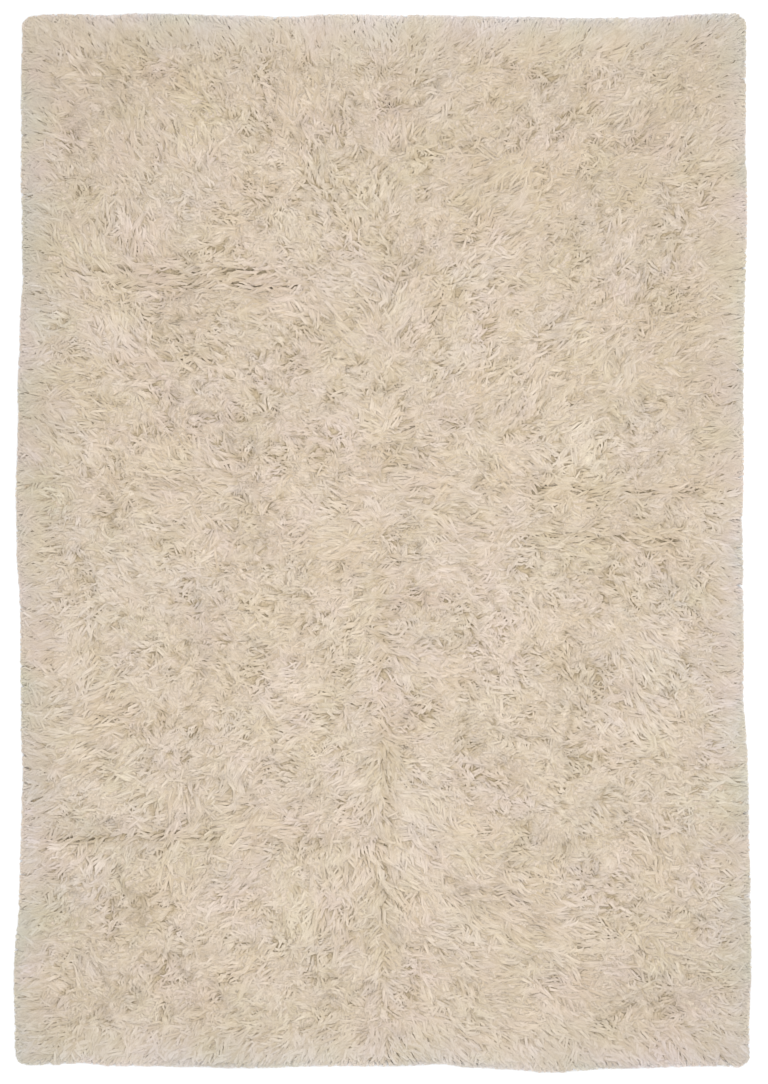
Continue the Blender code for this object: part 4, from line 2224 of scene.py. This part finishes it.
@dataclass
class RimFringe:
    """The straight locks that lie outward round the rim, in layers.

    Attributes:
        form: The pile's form.
        shade: Where its wool is painted lighter or darker, and paler at the rim.
        layers: The layers, from the lowest up.
        seed: Seed of the fringe's unevenness.
        pitch: Distance between locks along the rim in one layer, in metres.
        clump_pitch: Distance between the clumps that their tips gather in, in metres.
        corner: How far before the solid's corners a side's fringe ends, in metres.
        mitre: How much farther inward layers end before it, as a share of their inset.
        depth: How far its roots lie under the pile's top, in metres.
        softness: Share of the pile top's shading in its locks.
        length: Its shortest and longest locks, in metres.
        width: Its narrowest and widest, in metres, where a layer isn't broader.
        bend: Spread of their bends, in radians.
        wave: Its least and most wavy locks, in radians.
        lift: How far the lowest and the highest ride over the pile's top, in metres.
        clump_turn: Spread of the clumps' headings, in radians.
        turn: Spread of the locks' headings in a clump, in radians.
        tone: Mean tone of the locks.
        clump_tone: Spread of the clumps' tones.
        light: How much the pile's painted light and shade change them.
        light_mean: Painted light of the places where they don't.
        border: Distance of a clump's border from its middle, in clump pitches.
        border_drop: How much lower locks lie at the border, in metres.
        border_dark: How much darker they are painted, in tones, as painted shade between clumps.
    """

    form: PileForm
    shade: PileShade
    layers: tuple[FringeLayer, ...] = FRINGE_LAYERS
    seed: int = 33
    pitch: float = 0.0042
    clump_pitch: float = 0.018
    corner: float = 0.012
    mitre: float = 0.6
    depth: float = 0.008
    softness: float = 0.90
    length: Span = (0.015, 0.080)
    width: Span = (0.0052, 0.0074)
    bend: float = 0.22
    wave: Span = (0.05, 0.35)
    lift: Span = (-0.001, 0.001)
    clump_turn: float = 0.12
    turn: float = 0.06
    tone: float = 0.57
    clump_tone: float = 0.12
    # How strongly the pile's painted light and shade go into the tone.
    light: float = 0.32
    light_mean: float = 0.1
    border: float = 0.5
    border_drop: float = 0.004
    # Painted shade between clumps.
    border_dark: float = 0.45

    def build(self, finish: bpy.types.Material) -> list[bpy.types.Object]:
        """Build the fringe of each side.

        Args:
            finish: The locks' material.

        Returns:
            The four pieces.
        """
        chance = np.random.default_rng(self.seed)
        mesher = LockMesher(
            self.form, self.shade, STRAIGHT, depth=self.depth, softness=self.softness
        )
        pieces = []
        for side in RIM_SIDES:
            locks = mesher.trimmed(self.locks(side, chance))
            pieces.append(show(mesher.mesh(locks, f"rim_fringe_{side.name}"), finish))
        return pieces

    def _roots(
        self, side: RimSide, end: float, chance: np.random.Generator
    ) -> tuple[list[Array], Array]:
        """Root the locks of one side.

        Args:
            side: The side.
            end: How far from its middle its fringe ends, in metres.
            chance: Source of their unevenness.

        Returns:
            The roots' X and Y, layer by layer, and how far inside the rim line each lock ends.
        """
        roots, insets = [], []
        for layer in self.layers:
            last = end - layer.inset * self.mitre
            along = np.arange(-last, last, self.pitch)
            along = along + chance.uniform(-0.5, 0.5, along.size) * self.pitch
            rim = np.interp(along, *self.form.rim.sides[side.axis, side.sign])
            shake = chance.uniform(-layer.shake, layer.shake, along.size)
            out = side.sign * (rim - layer.inset + shake)
            roots.append(np.stack([out, along] if side.axis == 0 else [along, out], 1))
            insets.append(layer.short + chance.uniform(0, layer.shake, along.size))
        return roots, np.concatenate(insets)

    def locks(self, side: RimSide, chance: np.random.Generator) -> Locks:
        """Return the locks of one side.

        Args:
            side: The side.
            chance: Source of their unevenness.

        Returns:
            The locks.
        """
        end = self.form.rim.half[1 - side.axis] - self.corner
        roots, inset = self._roots(side, end, chance)
        root = np.concatenate(roots)
        count = len(root)
        layer = [one for one, places in zip(self.layers, roots) for _ in places]
        clumps = np.arange(-end, end, self.clump_pitch)
        clumps = clumps + chance.uniform(-0.5, 0.5, clumps.size) * self.clump_pitch
        along = root[:, 1 - side.axis]
        own = np.abs(along[:, None] - clumps[None, :]).argmin(1)
        aside = along - clumps[own]
        heading = self.form.heading(*root.T) + chance.normal(0, self.clump_turn, clumps.size)[own]
        heading = heading + chance.normal(0, self.turn, count)
        # Painted light and shade of the side, the pile and each layer go into the tone.
        tone = chance.normal(self.tone + side.light, self.clump_tone, clumps.size)[own]
        tone = tone + self.light * (self.shade.light(*root.T) - self.light_mean)
        tone = tone + np.array([one.light for one in layer])
        gather = side.gather * np.array([one.gather for one in layer])
        border = np.clip(np.abs(aside) / (self.border * self.clump_pitch), 0, 1) ** 2 * gather
        broad = np.array([one.broad for one in layer])
        return Locks(
            root=root,
            heading=heading,
            length=np.clip(self.form.rim.reach(root, heading, inset), *self.length),
            width=chance.uniform(*self.width, count) * broad,
            bend=chance.normal(0, self.bend, count),
            wave=chance.uniform(*self.wave, count),
            phase=chance.uniform(0, math.tau, count),
            offset=aside * side.sign * (1 if side.axis == 0 else -1),
            gather=gather,
            lift=chance.uniform(*self.lift, count) - self.border_drop * border,
            # Painted shade at the clumps' borders.
            tone=np.clip(tone + chance.normal(0, side.uneven, count) - self.border_dark * border, 0, 1),
            level=np.array([one.level for one in layer]),
        )


# ----------------------------------------------------------
# Studio
# ----------------------------------------------------------


@dataclass(frozen=True)
class PhotoFrame:
    """The photograph's frame and where the rug's box lies in it, all in pixels.

    Attributes:
        width: The frame's width.
        height: Its height.
        left: Where the rug's left side lies.
        right: Where its right side lies.
        top: Where its far side lies.
        bottom: Where its near side lies.
    """

    width: float = 768.0
    height: float = 1084.0
    left: float = 14.0
    right: float = 751.0
    top: float = 13.0
    bottom: float = 1073.0


@dataclass
class Studio:
    """A pale floor, soft light and a camera straight above the rug.

    Attributes:
        half: Half of the rug's width and length, in metres.
        photo: The photograph's frame.
        lens: Focal length, in millimetres.
        sensor: Longer side of the camera's sensor, in millimetres.
        farthest: How far the camera sees, in metres.
        softbox_place: Where the softbox hangs, in metres.
        softbox_size: Its width and length, in metres.
        softbox_power: Its power, in watts.
        room_light: How light the room is.
        floor_half: Half width of the floor, in metres.
        floor_drop: How far under the rug it lies, in metres.
        floor_colour: Its colour.
        floor_roughness: How dull it is.
        floor_glow: How much it glows, so that no shadow shows on it.
    """

    half: Array
    photo: PhotoFrame = PhotoFrame()
    lens: float = 150.0
    sensor: float = 36.0
    farthest: float = 100.0
    softbox_place: Place = (0.22, 0.12, 3.4)
    softbox_size: Span = (5.0, 6.0)
    softbox_power: float = 200.0
    room_light: float = 0.48
    floor_half: float = 20.0
    floor_drop: float = 0.0005
    floor_colour: Colour = (0.90, 0.90, 0.90)
    floor_roughness: float = 0.9
    floor_glow: float = 0.20

    def build(self) -> None:
        """Build all of it."""
        self._floor()
        self._softbox()
        self._room()
        self._camera()
        bpy.context.scene.view_settings.view_transform = "Standard"

    def _floor(self) -> None:
        """Lay the floor just under the rug."""
        floor = bmesh.new()
        bmesh.ops.create_grid(floor, x_segments=1, y_segments=1, size=self.floor_half)
        mesh = bpy.data.meshes.new("pale_floor")
        floor.to_mesh(mesh)
        floor.free()
        nodes = Nodes("pale_floor")
        sockets = nodes.shader.inputs
        sockets["Base Color"].default_value = (*self.floor_colour, 1.0)
        sockets["Roughness"].default_value = self.floor_roughness
        sockets["Emission Color"].default_value = (*WHITE, 1.0)
        sockets["Emission Strength"].default_value = self.floor_glow
        mesh.materials.append(nodes.material)
        piece = bpy.data.objects.new("pale_floor", mesh)
        piece.location.z = -self.floor_drop
        bpy.context.scene.collection.objects.link(piece)
        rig.stage(piece)

    def _softbox(self) -> None:
        """Hang the softbox so that it faces the rug's middle."""
        lamp = bpy.data.lights.new("overhead_softbox", "AREA")
        lamp.shape = "RECTANGLE"
        lamp.size, lamp.size_y = self.softbox_size
        lamp.energy = self.softbox_power
        holder = bpy.data.objects.new("overhead_softbox", lamp)
        holder.location = self.softbox_place
        holder.rotation_mode = "QUATERNION"
        holder.rotation_quaternion = (-Vector(self.softbox_place)).to_track_quat("-Z", "Y")
        holder.visible_camera = False
        bpy.context.scene.collection.objects.link(holder)

    def _room(self) -> None:
        """Light the room evenly."""
        world = bpy.data.worlds.new("pale_room")
        world.use_nodes = True
        sockets = world.node_tree.nodes["Background"].inputs
        sockets["Color"].default_value = (*WHITE, 1.0)
        sockets["Strength"].default_value = self.room_light
        bpy.context.scene.world = world

    def _camera(self) -> None:
        """Hang the camera straight above, framed as the photograph is."""
        photo = self.photo
        scale_x = 2 * self.half[0] / (photo.right - photo.left)
        scale_y = 2 * self.half[1] / (photo.bottom - photo.top)
        scale = (scale_x + scale_y) / 2
        shift_x = (photo.width - photo.left - photo.right) / 2 * scale
        shift_y = (photo.top + photo.bottom - photo.height) / 2 * scale
        camera = bpy.data.cameras.new("camera")
        camera.lens = self.lens
        camera.sensor_width = self.sensor
        camera.clip_end = self.farthest
        holder = bpy.data.objects.new("camera", camera)
        height = photo.height * scale * self.lens / self.sensor
        holder.location = (shift_x, shift_y, height)
        bpy.context.scene.collection.objects.link(holder)
        bpy.context.scene.camera = holder


# ----------------------------------------------------------
# The whole scene
# ----------------------------------------------------------


def corners() -> list[list[float]]:
    """Return the shown object's lowest and highest corner as plain numbers."""
    return [[float(value) for value in corner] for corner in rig.bounds()]


def main() -> None:
    """Build the rug and its studio."""
    logging.basicConfig(level=logging.INFO, format="%(name)s: %(message)s")
    solid_box = corners()
    solid = frame["nodes"][NODE]
    places = np.array([vertex.co for vertex in solid.data.vertices])
    tree = BVHTree.FromObject(solid, bpy.context.evaluated_depsgraph_get())
    form = PileForm(RimLine(places), tree)
    shade = PileShade(form)
    ground = GroundCloth(form)
    cloth = ground.build()
    wool = WoolFinish().material()
    pile = [PileBed(form, ground).build()]
    pile += PileField(form, shade).build(wool)
    pile += RimFringe(form, shade).build(wool)
    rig.sheet(cloth, flat=ground.flat(), held="laid", with_pieces=pile)
    Studio(form.rim.half).build()
    SIZE_FILE.write_text(json.dumps({"cad": solid_box, "visual": corners()}))


if __name__ == "__main__":
    main()
